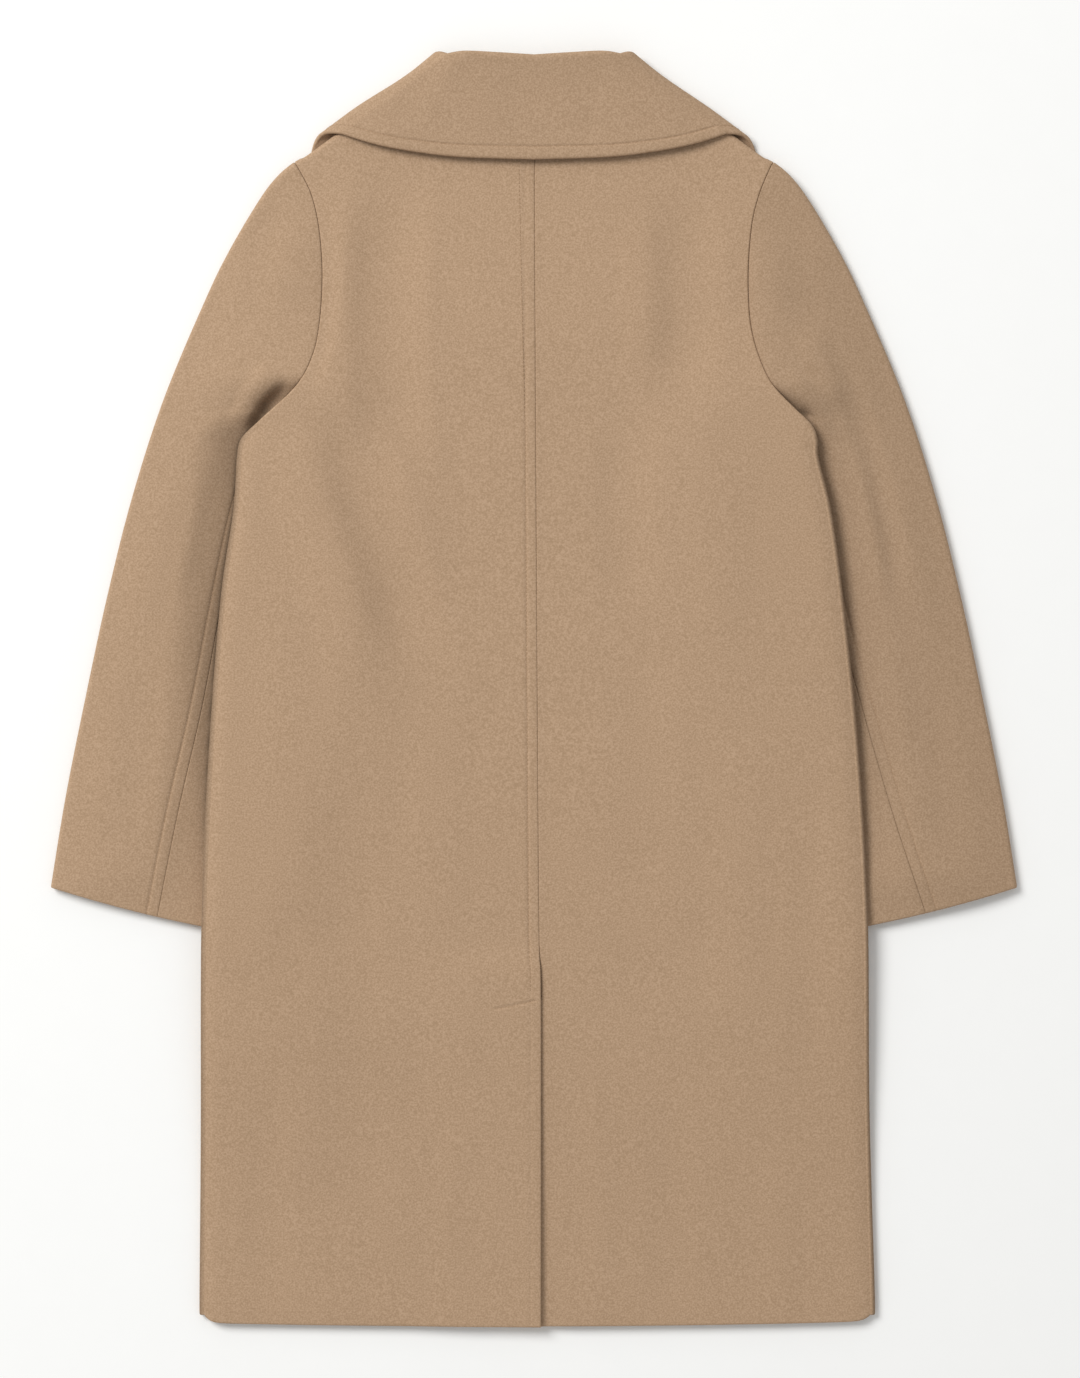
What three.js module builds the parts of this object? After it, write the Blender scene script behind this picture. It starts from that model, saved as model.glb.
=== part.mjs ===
// A wool overcoat laid flat, front down and back up. Millimetres, +Z up, +Y towards the collar.
// -X is the wearer's left. Every piece that a tailor would cut is one closed wall of cloth.
//
// The body is a flattened tube: front panels below, back panels above. The sleeves are flattened
// tubes too. They lie on the ground and run under the sides of the body, which lies lifted on them.
// The collar folds over the back panels and its two ends lie on the ground under the fronts.
// Each side is worked out with x measured outwards from the centre, and mirrored at the end.

import * as THREE from 'three';
import { mergeVertices } from 'three/addons/utils/BufferGeometryUtils.js';

// ---- cloth and layers ----
const CLOTH = 2.5; // one layer of coating
const COLLAR_CLOTH = 3.2; // two layers sewn and pressed together
const SEAM_GAP = 0.3; // between pieces that are sewn together
const TUBE = 8.8; // a flattened tube: cloth, air, cloth
const FOLD_RADIUS = TUBE / 2; // outside of the fold at a tube's edge
const LAP_LIFT = CLOTH + 2 * SEAM_GAP; // how far a layer lifts the one that laps it
const WING_LIFT = COLLAR_CLOTH + SEAM_GAP; // how far the collar's ends lift what lies over them
const SLEEVE_LIFT = TUBE + SEAM_GAP; // how far a sleeve lifts the side of the body
const PLATEAU = 13; // a lift stays full this far past the piece that causes it

// ---- body ----
const BACK_NECK_Y = 495; // back neck seam at the centre
const FRONT_NECK_Y = 415; // front neck seam at the centre
const HEM_Y = -530.8; // hem at the centre
const HEM_CORNER_Y = -521.5;
const UNDERARM_Y = 229;
const FRONT_LAP = 25; // each front runs this far past the centre
const VENT_TOP_Y = -259; // top of the centre vent
const VENT_UNDERLAP = 40; // cloth that lies under the vent's edge

// ---- shoulder axis, the line that the collar and the shoulders fold about ----
const AXIS_START = new THREE.Vector2(73.5, 523.4); // at the collar's roll
const AXIS_SLOPE = Math.atan2(75.8, 101.9);
const AXIS_ALONG = new THREE.Vector2(Math.cos(AXIS_SLOPE), -Math.sin(AXIS_SLOPE));
const AXIS_OUT = new THREE.Vector2(Math.sin(AXIS_SLOPE), Math.cos(AXIS_SLOPE));
const NECK_POINT = 24; // distance along the axis from the roll
const SHOULDER_STRAIGHT = 135; // the shoulder follows the axis this far

// ---- collar ----
const ROLL_RADIUS = 2.6; // middle of the collar's wall, where it turns over
const COLLAR_FRONT_GAP = 6; // between the two ends at the centre front
const COLLAR_EDGE_BACK = 107; // along the axis, where the outer edge reaches the shoulder
const COLLAR_EDGE_FRONT = 141; // and where it leaves the shoulder on the front
const ROLL_SLIP = 12; // how far the roll runs along the axis as it turns to the front
const STAND_RISE = 0.85; // the back stand climbs this much to the roll
const ROLL_SETTLES = 0.45; // part of the fall over which it comes down onto the back

// ---- outlines ----

// Outer edge of the sleeve, from the shoulder point to the cuff.
const SLEEVE_OUTER = [
  { x: 199.5, y: 437.3 },
  { x: 213.5, y: 425.5 },
  { x: 228.3, y: 406.3 },
  { x: 253.2, y: 364.8 },
  { x: 273.5, y: 323.3 },
  { x: 308.3, y: 240.3 },
  { x: 334.9, y: 157.3 },
  { x: 355.7, y: 74.3 },
  { x: 373.5, y: -8.7 },
  { x: 390.1, y: -91.7 },
  { x: 402.2, y: -166 },
];

// Inner edge of the sleeve, hidden under the body, from its top to the cuff.
const SLEEVE_INNER = [
  { x: 172, y: 211 },
  { x: 156, y: 185 },
  { x: 153, y: 145 },
  { x: 173, y: 50 },
  { x: 202, y: -60 },
  { x: 246, y: -204 },
];

// Back seam of the sleeve from the underarm down. It ends at this part of the cuff's width.
const SLEEVE_SEAM = [
  { y: UNDERARM_Y, left: 219.4, right: 219 },
  { y: 150, left: 243, right: 233 },
  { y: 68.5, left: 260.2, right: 249.5 },
  { y: -17, left: 276.4, right: 273 },
  { y: -104.7, left: 296.4, right: 298.5 },
];
const CUFF_SEAM = { left: 0.57, right: 0.49 };
const SHOULDER_EASE = 1.3; // keeps the inner faces apart where the seam turns over the shoulder
const UNDERARM_ON_EDGE = 0.4; // part of the outer edge's length that is level with the underarm

// Armhole seam from the shoulder point to the underarm.
const ARMHOLE = [
  { y: 437.3, left: 199.5, right: 199.5 },
  { y: 414, left: 187, right: 189 },
  { y: 390, left: 180, right: 182 },
  { y: 362, left: 176.6, right: 178.8 },
  { y: 334, left: 176, right: 178 },
  { y: 303, left: 178.2, right: 179.8 },
  { y: 277, left: 183.4, right: 186 },
  { y: 252, left: 196, right: 197.5 },
  { y: UNDERARM_Y, left: 219.4, right: 219 },
];

// Side of the body from the underarm to the hem. The first rows are the fold over the sleeve.
const BODY_SIDE = [
  { y: UNDERARM_Y, left: 219.4, right: 219 },
  { y: 218, left: 232.5, right: 231 },
  { y: 206, left: 243.5, right: 235.6 },
  { y: 190, left: 246.6, right: 236.5 },
  { y: 147, left: 249.5, right: 246.8 },
  { y: 74, left: 260, right: 256.8 },
  { y: -47, left: 269.4, right: 269.4 },
  { y: -183, left: 275.6, right: 277.2 },
  { y: -341, left: 277.1, right: 279.1 },
  { y: -505, left: 278.7, right: 284 },
  { y: HEM_CORNER_Y, left: 278, right: 283 },
];

// Centre back seam, which drifts to the wearer's right towards the hem.
const BACK_SEAM = [
  { y: BACK_NECK_Y + 20, x: 0.4 },
  { y: 300, x: 1 },
  { y: -175, x: 4 },
  { y: VENT_TOP_Y, x: 5.8 },
  { y: HEM_Y - 20, x: 5.8 },
];

// Neck seams from the centre towards the neck point. The fronts start at their lap.
const BACK_NECK = [
  { x: 0, y: BACK_NECK_Y },
  { x: 38, y: 495.4 },
  { x: 66, y: 496.4 },
  { x: 82, y: 498.8 },
  { x: 89.2, y: 504.3 },
];
const FRONT_NECK = [
  { x: -FRONT_LAP, y: FRONT_NECK_Y },
  { x: 0, y: FRONT_NECK_Y },
  { x: 34, y: 420 },
  { x: 62, y: 440 },
  { x: 80, y: 470 },
  { x: 89.2, y: 504.3 },
];

// The collar's roll and outer edge, from the centre towards the shoulder axis.
const BACK_ROLL = [
  { x: 0, y: 522.6 },
  { x: 30, y: 524.6 },
  { x: 58, y: 526 },
];
const FRONT_ROLL = [
  { x: COLLAR_FRONT_GAP / 2, y: 438 },
  { x: 26, y: 441 },
  { x: 48, y: 457 },
  { x: 64, y: 482 },
  { x: 75, y: 505 },
];
const BACK_EDGE = [
  { x: 0, y: 439.7 },
  { x: 62, y: 441.8 },
  { x: 103, y: 446.6 },
  { x: 133, y: 452.2 },
];
const FRONT_EDGE = [
  { x: COLLAR_FRONT_GAP / 2, y: 316 },
  { x: 74, y: 325 },
  { x: 124, y: 352 },
  { x: 160, y: 390 },
  { x: 179, y: 420 },
];

// ---- how finely each piece is divided, as parts of a length or as heights ----
const FOLD_STEPS = 3; // in a quarter turn
const ARMHOLE_STEPS = [0, 0.11, 0.22, 0.34, 0.46, 0.58, 0.69, 0.79, 0.88, 0.95, 1];
const NECK_STEPS = {
  back: [0, 0.3, 0.56, 0.78, 0.9, 1],
  front: [0, 0.25, 0.4, 0.54, 0.68, 0.8, 0.92, 1],
};
const SHOULDER_STEPS = 6;
const SIDE_ROWS = [214, 197, 170, 130, 80, 20, -60, -130, -180, -210, -235, -258, -268, -310, -400];
const SEAM_ROWS = [0, 0.07, 0.16, 0.28, 0.42, 0.58, 0.74, 0.88, 1];
const TOP_SLEEVE_COLUMNS = 8;
const UNDER_SLEEVE_COLUMNS = 4;
const COLLAR_SHOULDER_STEPS = 6;
const COLLAR_STAND_STEPS = 2;
const COLLAR_ROLL_STEPS = 5;
const COLLAR_FALL_STEPS = 6;

const { clamp, lerp: mix, smoothstep } = THREE.MathUtils;
const vec2 = (row) => new THREE.Vector2(row.x, row.y);
const spline = (rows) => new THREE.SplineCurve(rows.map(vec2));
const rowsOf = (table, side) => table.map((row) => ({ x: row[side], y: row.y }));
const steps = (count) => Array.from({ length: count + 1 }, (_, i) => i / count);
const signOf = (side) => (side === 'left' ? -1 : 1);

function axisPoint(along, out = 0) {
  return AXIS_START.clone().addScaledVector(AXIS_ALONG, along).addScaledVector(AXIS_OUT, out);
}

// Part of a curve's length at which a rising measure of its points first reaches a value.
function partWhere(curve, measure, value) {
  let low = 0;
  let high = 1;
  for (let i = 0; i < 30; i += 1) {
    const middle = (low + high) / 2;
    if (measure(curve.getPointAt(middle)) < value) low = middle;
    else high = middle;
  }
  return (low + high) / 2;
}

const atHeight = (curve, y) => partWhere(curve, (point) => -point.y, -y);

// Normal of a curve in plan, to the left of its direction of travel.
function normalAt(curve, t) {
  const tangent = curve.getTangentAt(clamp(t, 0, 1));
  return new THREE.Vector2(-tangent.y, tangent.x);
}

// ---- how far each layer is lifted by what lies under it ----

// Distance from a point to a closed outline in plan, and 0 inside it.
function distanceOutside(point, outline) {
  let nearest = Infinity;
  let inside = false;
  outline.forEach((b, i) => {
    const a = outline.at(i - 1);
    const edge = b.clone().sub(a);
    const along = clamp(point.clone().sub(a).dot(edge) / edge.lengthSq(), 0, 1);
    nearest = Math.min(nearest, point.distanceTo(a.clone().addScaledVector(edge, along)));
    const crossing = a.x + ((b.x - a.x) * (point.y - a.y)) / (b.y - a.y);
    if (a.y > point.y !== b.y > point.y && point.x < crossing) inside = !inside;
  });
  return inside ? 0 : nearest;
}

// 1 as far as the plateau, then falling smoothly to 0 over the ramp.
const slope = (distance, ramp) => 1 - smoothstep(distance, PLATEAU, PLATEAU + ramp);

const wingHalf = [...FRONT_EDGE.map(vec2), axisPoint(COLLAR_EDGE_FRONT), new THREE.Vector2(120, 600)];
const wingOutline = [...wingHalf, ...wingHalf.map((p) => new THREE.Vector2(-p.x, p.y)).reverse()];

const wingLift = (point) => WING_LIFT * slope(distanceOutside(point, wingOutline), 40);

function sleeveLift(point, side) {
  const cuff = vec2(SLEEVE_OUTER.at(-1));
  const underarm = new THREE.Vector2(BODY_SIDE[0][side], UNDERARM_Y);
  const outline = [underarm, ...SLEEVE_INNER.map(vec2), cuff, new THREE.Vector2(cuff.x, UNDERARM_Y)];
  return SLEEVE_LIFT * slope(distanceOutside(point, outline), 42);
}

// ---- walls ----

// A closed wall over a grid. point(u, v) is a surface, and the wall lies between two distances
// from it, measured along its normal.
function wall(point, us, vs, distances) {
  const small = 1e-4;
  const normal = (u, v) => {
    const du = point(Math.min(u + small, us.at(-1)), v).sub(point(Math.max(u - small, us[0]), v));
    const dv = point(u, Math.min(v + small, vs.at(-1))).sub(point(u, Math.max(v - small, vs[0])));
    return du.cross(dv).normalize();
  };
  const positions = [];
  for (const distance of distances) {
    for (const u of us) {
      for (const v of vs) positions.push(...point(u, v).addScaledVector(normal(u, v), distance));
    }
  }
  const lastRow = us.length - 1;
  const lastColumn = vs.length - 1;
  const at = (layer, i, j) => (layer * us.length + i) * vs.length + j;
  const faces = [];
  const quad = (a, b, c, d) => faces.push(a, b, c, a, c, d);
  for (let i = 0; i < lastRow; i += 1) {
    for (let j = 0; j < lastColumn; j += 1) {
      quad(at(0, i, j), at(0, i, j + 1), at(0, i + 1, j + 1), at(0, i + 1, j));
      quad(at(1, i, j), at(1, i + 1, j), at(1, i + 1, j + 1), at(1, i, j + 1));
    }
    quad(at(0, i, 0), at(0, i + 1, 0), at(1, i + 1, 0), at(1, i, 0));
    quad(at(0, i, lastColumn), at(1, i, lastColumn), at(1, i + 1, lastColumn), at(0, i + 1, lastColumn));
  }
  for (let j = 0; j < lastColumn; j += 1) {
    quad(at(0, 0, j), at(1, 0, j), at(1, 0, j + 1), at(0, 0, j + 1));
    quad(at(0, lastRow, j), at(0, lastRow, j + 1), at(1, lastRow, j + 1), at(1, lastRow, j));
  }
  const geometry = new THREE.BufferGeometry();
  geometry.setAttribute('position', new THREE.Float32BufferAttribute(positions, 3));
  geometry.setIndex(faces);
  return facingOut(mergeVertices(geometry, 1e-3));
}

// Turns the faces round where a mirrored solid came out inside out.
function facingOut(geometry) {
  const position = geometry.getAttribute('position');
  const index = geometry.getIndex();
  const corner = (i) => new THREE.Vector3().fromBufferAttribute(position, index.getX(i));
  let volume = 0;
  for (let i = 0; i < index.count; i += 3) {
    volume += corner(i).dot(corner(i + 1).cross(corner(i + 2))) / 6;
  }
  if (volume < 0) {
    for (let i = 0; i < index.count; i += 3) {
      const second = index.getX(i + 1);
      index.setX(i + 1, index.getX(i + 2));
      index.setX(i + 2, second);
    }
  }
  return geometry;
}

// The wall's two faces, as distances along the normal: the outer face and one cloth inside it.
// up is +1 where the outer face looks up at the place (u, v), and -1 where it looks down.
function inwards(point, u, v, up) {
  const origin = point(u, v);
  const normal = point(u + 1e-3, v).sub(origin).cross(point(u, v + 1e-3).sub(origin));
  return [0, normal.z * up > 0 ? -CLOTH : CLOTH];
}

// A fold of a given turn, at the part k of it: how far it has gone out and round.
function foldAt(turn, k) {
  const angle = Math.max(turn, 1e-3);
  return {
    out: (FOLD_RADIUS * Math.sin(angle * k)) / Math.sin(angle),
    round: (FOLD_RADIUS * (1 - Math.cos(angle * k))) / Math.sin(angle),
  };
}

const FULL_TURN = Math.acos(SEAM_GAP / 2 / FOLD_RADIUS); // stops half a gap short of the seam

// A fold starts one radius in from its edge. This spreads that shift over the cloth beside it.
const pullIn = (distance) => clamp(1 - distance / 60, 0, 1) ** 2;

// ---- edges that pieces share ----

const neckEdge = axisPoint(NECK_POINT, FOLD_RADIUS);
const outerEdge = spline([neckEdge, axisPoint(SHOULDER_STRAIGHT, FOLD_RADIUS), ...SLEEVE_OUTER]);
const shoulderEnd = atHeight(outerEdge, SLEEVE_OUTER[0].y);
const necks = {
  back: spline([...BACK_NECK, axisPoint(NECK_POINT), neckEdge]),
  front: spline([...FRONT_NECK, axisPoint(NECK_POINT), neckEdge]),
};
const armholes = { left: spline(rowsOf(ARMHOLE, 'left')), right: spline(rowsOf(ARMHOLE, 'right')) };

// ---- body panels ----

// Rows of a panel from the shoulder to the hem: each one's end on the outer edge, the normal and
// the turn of the fold there, its distance from the shoulder, and its height at the centre.
function panelRows(side, neckY) {
  const armhole = armholes[side];
  const flank = spline(rowsOf(BODY_SIDE, side));
  const armholeLength = armhole.getLength();
  const rows = ARMHOLE_STEPS.map((part) => {
    const normal = normalAt(armhole, part);
    return {
      outer: armhole.getPointAt(part).addScaledVector(normal, -SEAM_GAP / 2),
      normal,
      turn: 0,
      distance: part * armholeLength,
      centreY: mix(neckY, UNDERARM_Y - 10, part),
    };
  });
  for (const y of [...SIDE_ROWS, HEM_CORNER_Y]) {
    const part = atHeight(flank, y);
    const distance = part * flank.getLength();
    rows.push({
      outer: flank.getPointAt(part),
      normal: normalAt(flank, part),
      turn: FULL_TURN * smoothstep(distance, 0, 30),
      distance: armholeLength + distance,
      centreY: y === HEM_CORNER_Y ? HEM_Y : y,
    });
  }
  return rows;
}

function rowBetween(rows, w) {
  const place = clamp(w, 0, 1) * (rows.length - 1);
  const i = Math.min(Math.floor(place), rows.length - 2);
  const [from, to] = [rows[i], rows[i + 1]];
  const f = place - i;
  return {
    outer: from.outer.clone().lerp(to.outer, f),
    inner: from.inner.clone().lerp(to.inner, f),
    normal: from.normal.clone().lerp(to.normal, f).normalize(),
    turn: mix(from.turn ?? 0, to.turn ?? 0, f),
    distance: mix(from.distance ?? 0, to.distance ?? 0, f),
  };
}

// One panel of the body. centreX(y) is its inner edge, and lift(point) is how far it is raised.
// w runs down: -1 to 0 round the shoulder's fold, 0 to 1 flat. u runs out: 0 to 1 flat, 1 to 2
// round the side's fold.
function bodyPanel({ side, layer, centreX, lift }) {
  const neck = necks[layer];
  const neckShare = (NECK_STEPS[layer].length - 1) / (NECK_STEPS[layer].length - 1 + SHOULDER_STEPS);
  const neckParts = NECK_STEPS[layer];
  const rows = panelRows(side, layer === 'back' ? BACK_NECK_Y : FRONT_NECK_Y);
  for (const row of rows) row.inner = new THREE.Vector2(centreX(row.centreY), row.centreY);

  const topEdge = (a) => {
    if (a < neckShare) {
      const place = (a / neckShare) * (neckParts.length - 1);
      const i = Math.floor(place);
      const part = mix(neckParts[i], neckParts[i + 1], place - i);
      return { point: neck.getPointAt(part), normal: normalAt(neck, part), turn: 0 };
    }
    const part = mix(0, shoulderEnd, (a - neckShare) / (1 - neckShare));
    return { point: outerEdge.getPointAt(part), normal: normalAt(outerEdge, part), turn: FULL_TURN };
  };
  const topStart = topEdge(0).point;
  const topEnd = topEdge(1).point;
  const hemRise = HEM_CORNER_Y - HEM_Y;

  const surface = (w, u) => {
    const a = Math.min(u, 1);
    const row = rowBetween(rows, w);
    const top = topEdge(a);
    const plan = row.inner.clone().lerp(row.outer, a);
    const bulge = top.point.clone().sub(topStart.clone().lerp(topEnd, a));
    plan.addScaledVector(bulge, (1 - clamp(w * 1.9, 0, 1)) ** 2);
    plan.y += hemRise * (a ** 5 - a) * clamp(w, 0, 1) ** 8;
    const sideFold = foldAt(row.turn, Math.max(u - 1, 0));
    const topFold = foldAt(top.turn, Math.max(-w, 0));
    plan.addScaledVector(row.normal, sideFold.out - FOLD_RADIUS * a ** 6);
    plan.addScaledVector(top.normal, topFold.out - FOLD_RADIUS * pullIn(row.distance));
    const round = sideFold.round + topFold.round;
    const z = lift(plan) + (layer === 'back' ? TUBE - round : round);
    return new THREE.Vector3(plan.x * signOf(side), plan.y, z);
  };
  const folds = steps(FOLD_STEPS).slice(1);
  const ws = [...folds.map((k) => -k).reverse(), ...steps(rows.length - 1)];
  const us = [...steps(neckParts.length - 1 + SHOULDER_STEPS), ...folds.map((k) => 1 + k)];
  return wall(surface, ws, us, inwards(surface, 0.5, 0.5, layer === 'back' ? 1 : -1));
}

const backSeam = spline(BACK_SEAM);
const backSeamX = (y) => backSeam.getPointAt(atHeight(backSeam, y)).x;

function backPanel(side) {
  const underlap = side === 'right' ? VENT_UNDERLAP : 0;
  const belowVentTop = (y) => y < VENT_TOP_Y - 5;
  const centreX = (y) => signOf(side) * backSeamX(y) + SEAM_GAP / 2 - (belowVentTop(y) ? underlap : 0);
  const ventLift = (point) => {
    if (side === 'right') return 0;
    const across = slope(point.x + backSeamX(point.y) - VENT_UNDERLAP, 40);
    return LAP_LIFT * across * slope(point.y - VENT_TOP_Y, 40);
  };
  const lift = (point) => wingLift(point) + sleeveLift(point, side) + ventLift(point);
  return bodyPanel({ side, layer: 'back', centreX, lift });
}

function frontPanel(side) {
  const centreX = () => -FRONT_LAP;
  const lapLift = (point) => (side === 'left' ? LAP_LIFT * slope(point.x - FRONT_LAP, 40) : 0);
  const lift = (point) => wingLift(point) + sleeveLift(point, side) + lapLift(point);
  return bodyPanel({ side, layer: 'front', centreX, lift });
}

// ---- sleeves ----

// Part of a sleeve's tube. u runs from the back seam across the top to the fold (0 to 1), round
// the fold (1 to 3) and back underneath (3 to 4). w runs down through the rows, each of which has
// its point and normal on the fold's edge and its point on the seam.
function sleevePart(side, rows, columns) {
  const surface = (w, u) => {
    const row = rowBetween(rows, w);
    const a = u < 1 ? 1 - u : Math.max(u - 3, 0);
    const angle = (clamp(u - 1, 0, 2) * Math.PI) / 2;
    const plan = row.outer.addScaledVector(row.normal, -FOLD_RADIUS).lerp(row.inner, a);
    plan.addScaledVector(row.normal, FOLD_RADIUS * Math.sin(angle));
    const z = wingLift(plan) + FOLD_RADIUS * (1 + Math.cos(angle));
    return new THREE.Vector3(plan.x * signOf(side), plan.y, z);
  };
  const across = steps(columns);
  const around = steps(2 * FOLD_STEPS).slice(1, -1).map((k) => 1 + 2 * k);
  const us = [...across, ...around, ...across.map((a) => 3 + a)];
  return wall(surface, steps(rows.length - 1), us, inwards(surface, 0.5, 0.5, 1));
}

// Rows down the sleeve's back seam: each one's part of the seam, and its point on the piece that
// lies outward (+1) or inward (-1) of the seam.
function seamRows(side, outward) {
  const cuffEnd = vec2(SLEEVE_OUTER.at(-1)).lerp(vec2(SLEEVE_INNER.at(-1)), CUFF_SEAM[side]);
  const curve = spline([...rowsOf(SLEEVE_SEAM, side), cuffEnd]);
  return SEAM_ROWS.map((part) => {
    const inner = curve.getPointAt(part).addScaledVector(normalAt(curve, part), (outward * SEAM_GAP) / 2);
    return { part, inner };
  });
}

// The top sleeve hangs from the armhole. Its first row is the top of the armhole seam itself.
function topSleeve(side) {
  const armhole = armholes[side];
  const length = armhole.getLength();
  const shoulderNormal = normalAt(outerEdge, shoulderEnd);
  const armholeParts = ARMHOLE_STEPS.slice(1);
  const onEdge = (part) => {
    const along = mix(shoulderEnd, 1, part);
    return { outer: outerEdge.getPointAt(along), normal: normalAt(outerEdge, along) };
  };
  const rows = armholeParts.map((part) => {
    const inner = armhole.getPointAt(part).addScaledVector(normalAt(armhole, part), SEAM_GAP / 2);
    inner.addScaledVector(shoulderNormal, -FOLD_RADIUS * pullIn(part * length));
    const along = (part - armholeParts[0]) / (1 - armholeParts[0]);
    return { ...onEdge(UNDERARM_ON_EDGE * along), inner };
  });
  rows[0].outer.addScaledVector(normalAt(armhole, 0), SHOULDER_EASE);
  for (const { part, inner } of seamRows(side, 1).slice(1)) {
    rows.push({ ...onEdge(mix(UNDERARM_ON_EDGE, 1, part)), inner });
  }
  return sleevePart(side, rows, TOP_SLEEVE_COLUMNS);
}

function underSleeve(side) {
  const edge = spline(SLEEVE_INNER);
  const rows = seamRows(side, -1).map(({ part, inner }) => {
    return { outer: edge.getPointAt(part), normal: normalAt(edge, part).negate(), inner };
  });
  return sleevePart(side, rows, UNDER_SLEEVE_COLUMNS);
}

// ---- collar ----

const COLLAR_HALF = COLLAR_CLOTH / 2;
const BACK_TOP = WING_LIFT + TUBE; // upper face of the back under the collar

// Height of the middle of the collar's wall and its place along the shoulder axis, on the back
// and on the front. v runs up the stand (0 to 1), over the roll (1 to 2) and down the fall (2 to 3).
function collarProfile(v) {
  const up = clamp(v, 0, 1);
  const over = clamp(v - 1, 0, 1) * Math.PI;
  const down = clamp(v - 2, 0, 1);
  const backSeamZ = BACK_TOP - CLOTH / 2;
  const backRollZ = backSeamZ + STAND_RISE + ROLL_RADIUS;
  const backRestZ = BACK_TOP + SEAM_GAP + COLLAR_HALF;
  const frontSeamZ = WING_LIFT + COLLAR_HALF;
  const frontRollZ = COLLAR_HALF + ROLL_RADIUS;
  const settle = clamp(1 - down / ROLL_SETTLES, 0, 1) ** 2;
  const turned = ROLL_RADIUS * Math.cos(over);
  const ahead = ROLL_RADIUS * Math.sin(over);
  if (v <= 1) {
    return {
      ahead,
      back: { z: mix(backSeamZ, backSeamZ + STAND_RISE, up), along: mix(NECK_POINT - SEAM_GAP, 0, up) },
      front: {
        z: mix(frontSeamZ, frontRollZ + ROLL_RADIUS, up),
        along: mix(NECK_POINT - SEAM_GAP, ROLL_SLIP, up),
      },
    };
  }
  const rollTop = backRollZ + ROLL_RADIUS;
  return {
    ahead,
    back: {
      z: v <= 2 ? backRollZ - turned : mix(backRestZ, rollTop, settle),
      along: mix(0, COLLAR_EDGE_BACK, down) - ahead,
    },
    front: {
      z: v <= 2 ? frontRollZ + turned : COLLAR_HALF,
      along: mix(ROLL_SLIP, COLLAR_EDGE_FRONT, down) - ahead,
    },
  };
}

// Plan of the collar between its neck seam, roll and outer edge.
function collarPlan(lines, f, v, ahead) {
  const seam = lines.seam(f);
  const roll = lines.roll(f);
  const facing = roll.clone().sub(seam).normalize();
  seam.addScaledVector(facing, SEAM_GAP);
  if (v <= 1) return seam.lerp(roll, v);
  return roll.addScaledVector(facing, ahead).lerp(lines.edge(f), clamp(v - 2, 0, 1));
}

function collar() {
  const backRoll = spline([...BACK_ROLL, axisPoint(0)]);
  const frontRoll = spline([...FRONT_ROLL, axisPoint(ROLL_SLIP)]);
  const backEdge = spline([...BACK_EDGE, axisPoint(COLLAR_EDGE_BACK)]);
  const frontEdge = spline([...FRONT_EDGE, axisPoint(COLLAR_EDGE_FRONT)]);
  const onAxis = { back: 1 - FOLD_RADIUS / necks.back.getLength() };
  onAxis.front = 1 - FOLD_RADIUS / necks.front.getLength();
  const frontStart = partWhere(necks.front, (point) => point.x, COLLAR_FRONT_GAP / 2);
  const lines = {
    back: {
      seam: (f) => necks.back.getPointAt(f * onAxis.back),
      roll: (f) => backRoll.getPointAt(f),
      edge: (f) => backEdge.getPointAt(f),
    },
    front: {
      seam: (f) => necks.front.getPointAt(mix(frontStart, onAxis.front, f)),
      roll: (f) => frontRoll.getPointAt(f),
      edge: (f) => frontEdge.getPointAt(f),
    },
  };

  // t runs out from the centre back (0 to 1), round the shoulder (1 to 2), and in along the
  // front to the end (2 to 3). It is negative on the wearer's left.
  const surface = (t, v) => {
    const far = Math.abs(t);
    const profile = collarProfile(v);
    let plan;
    let z;
    if (far <= 1) {
      plan = collarPlan(lines.back, far, v, profile.ahead);
      z = profile.back.z;
    } else if (far >= 2) {
      plan = collarPlan(lines.front, 3 - far, v, profile.ahead);
      z = profile.front.z;
    } else {
      const k = far - 1;
      const radius = (profile.back.z - profile.front.z) / 2;
      const along = mix(profile.back.along, profile.front.along, k);
      plan = axisPoint(along, radius * Math.sin(Math.PI * k));
      z = profile.front.z + radius * (1 + Math.cos(Math.PI * k));
    }
    return new THREE.Vector3(plan.x * Math.sign(t), plan.y, z);
  };
  const backParts = NECK_STEPS.back.slice(1, -1).map((part) => part / onAxis.back);
  const frontParts = NECK_STEPS.front.slice(1, -1);
  const frontTs = frontParts.map((part) => 3 - (part - frontStart) / (onAxis.front - frontStart));
  const shoulderTs = steps(COLLAR_SHOULDER_STEPS).map((k) => 1 + k);
  const half = [...backParts, ...shoulderTs, ...frontTs.reverse(), 3];
  const ts = [...half.map((t) => -t).reverse(), 0, ...half];
  const vs = [
    ...steps(COLLAR_STAND_STEPS),
    ...steps(COLLAR_ROLL_STEPS).slice(1).map((k) => 1 + k),
    ...steps(COLLAR_FALL_STEPS).slice(1).map((k) => 2 + k),
  ];
  return wall(surface, ts, vs, [-COLLAR_HALF, COLLAR_HALF]);
}

// ---- the coat ----

const camel = new THREE.Color(0xb5987b);

function piece(name, geometry) {
  const material = new THREE.MeshStandardMaterial({ color: camel, roughness: 0.95, metalness: 0 });
  const mesh = new THREE.Mesh(geometry, material);
  mesh.name = name;
  return mesh;
}

const overcoat = new THREE.Group();
for (const side of ['left', 'right']) {
  overcoat.add(piece(`back_${side}`, backPanel(side)));
  overcoat.add(piece(`front_${side}`, frontPanel(side)));
  overcoat.add(piece(`sleeve_top_${side}`, topSleeve(side)));
  overcoat.add(piece(`sleeve_under_${side}`, underSleeve(side)));
}
overcoat.add(piece('collar', collar()));

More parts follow.
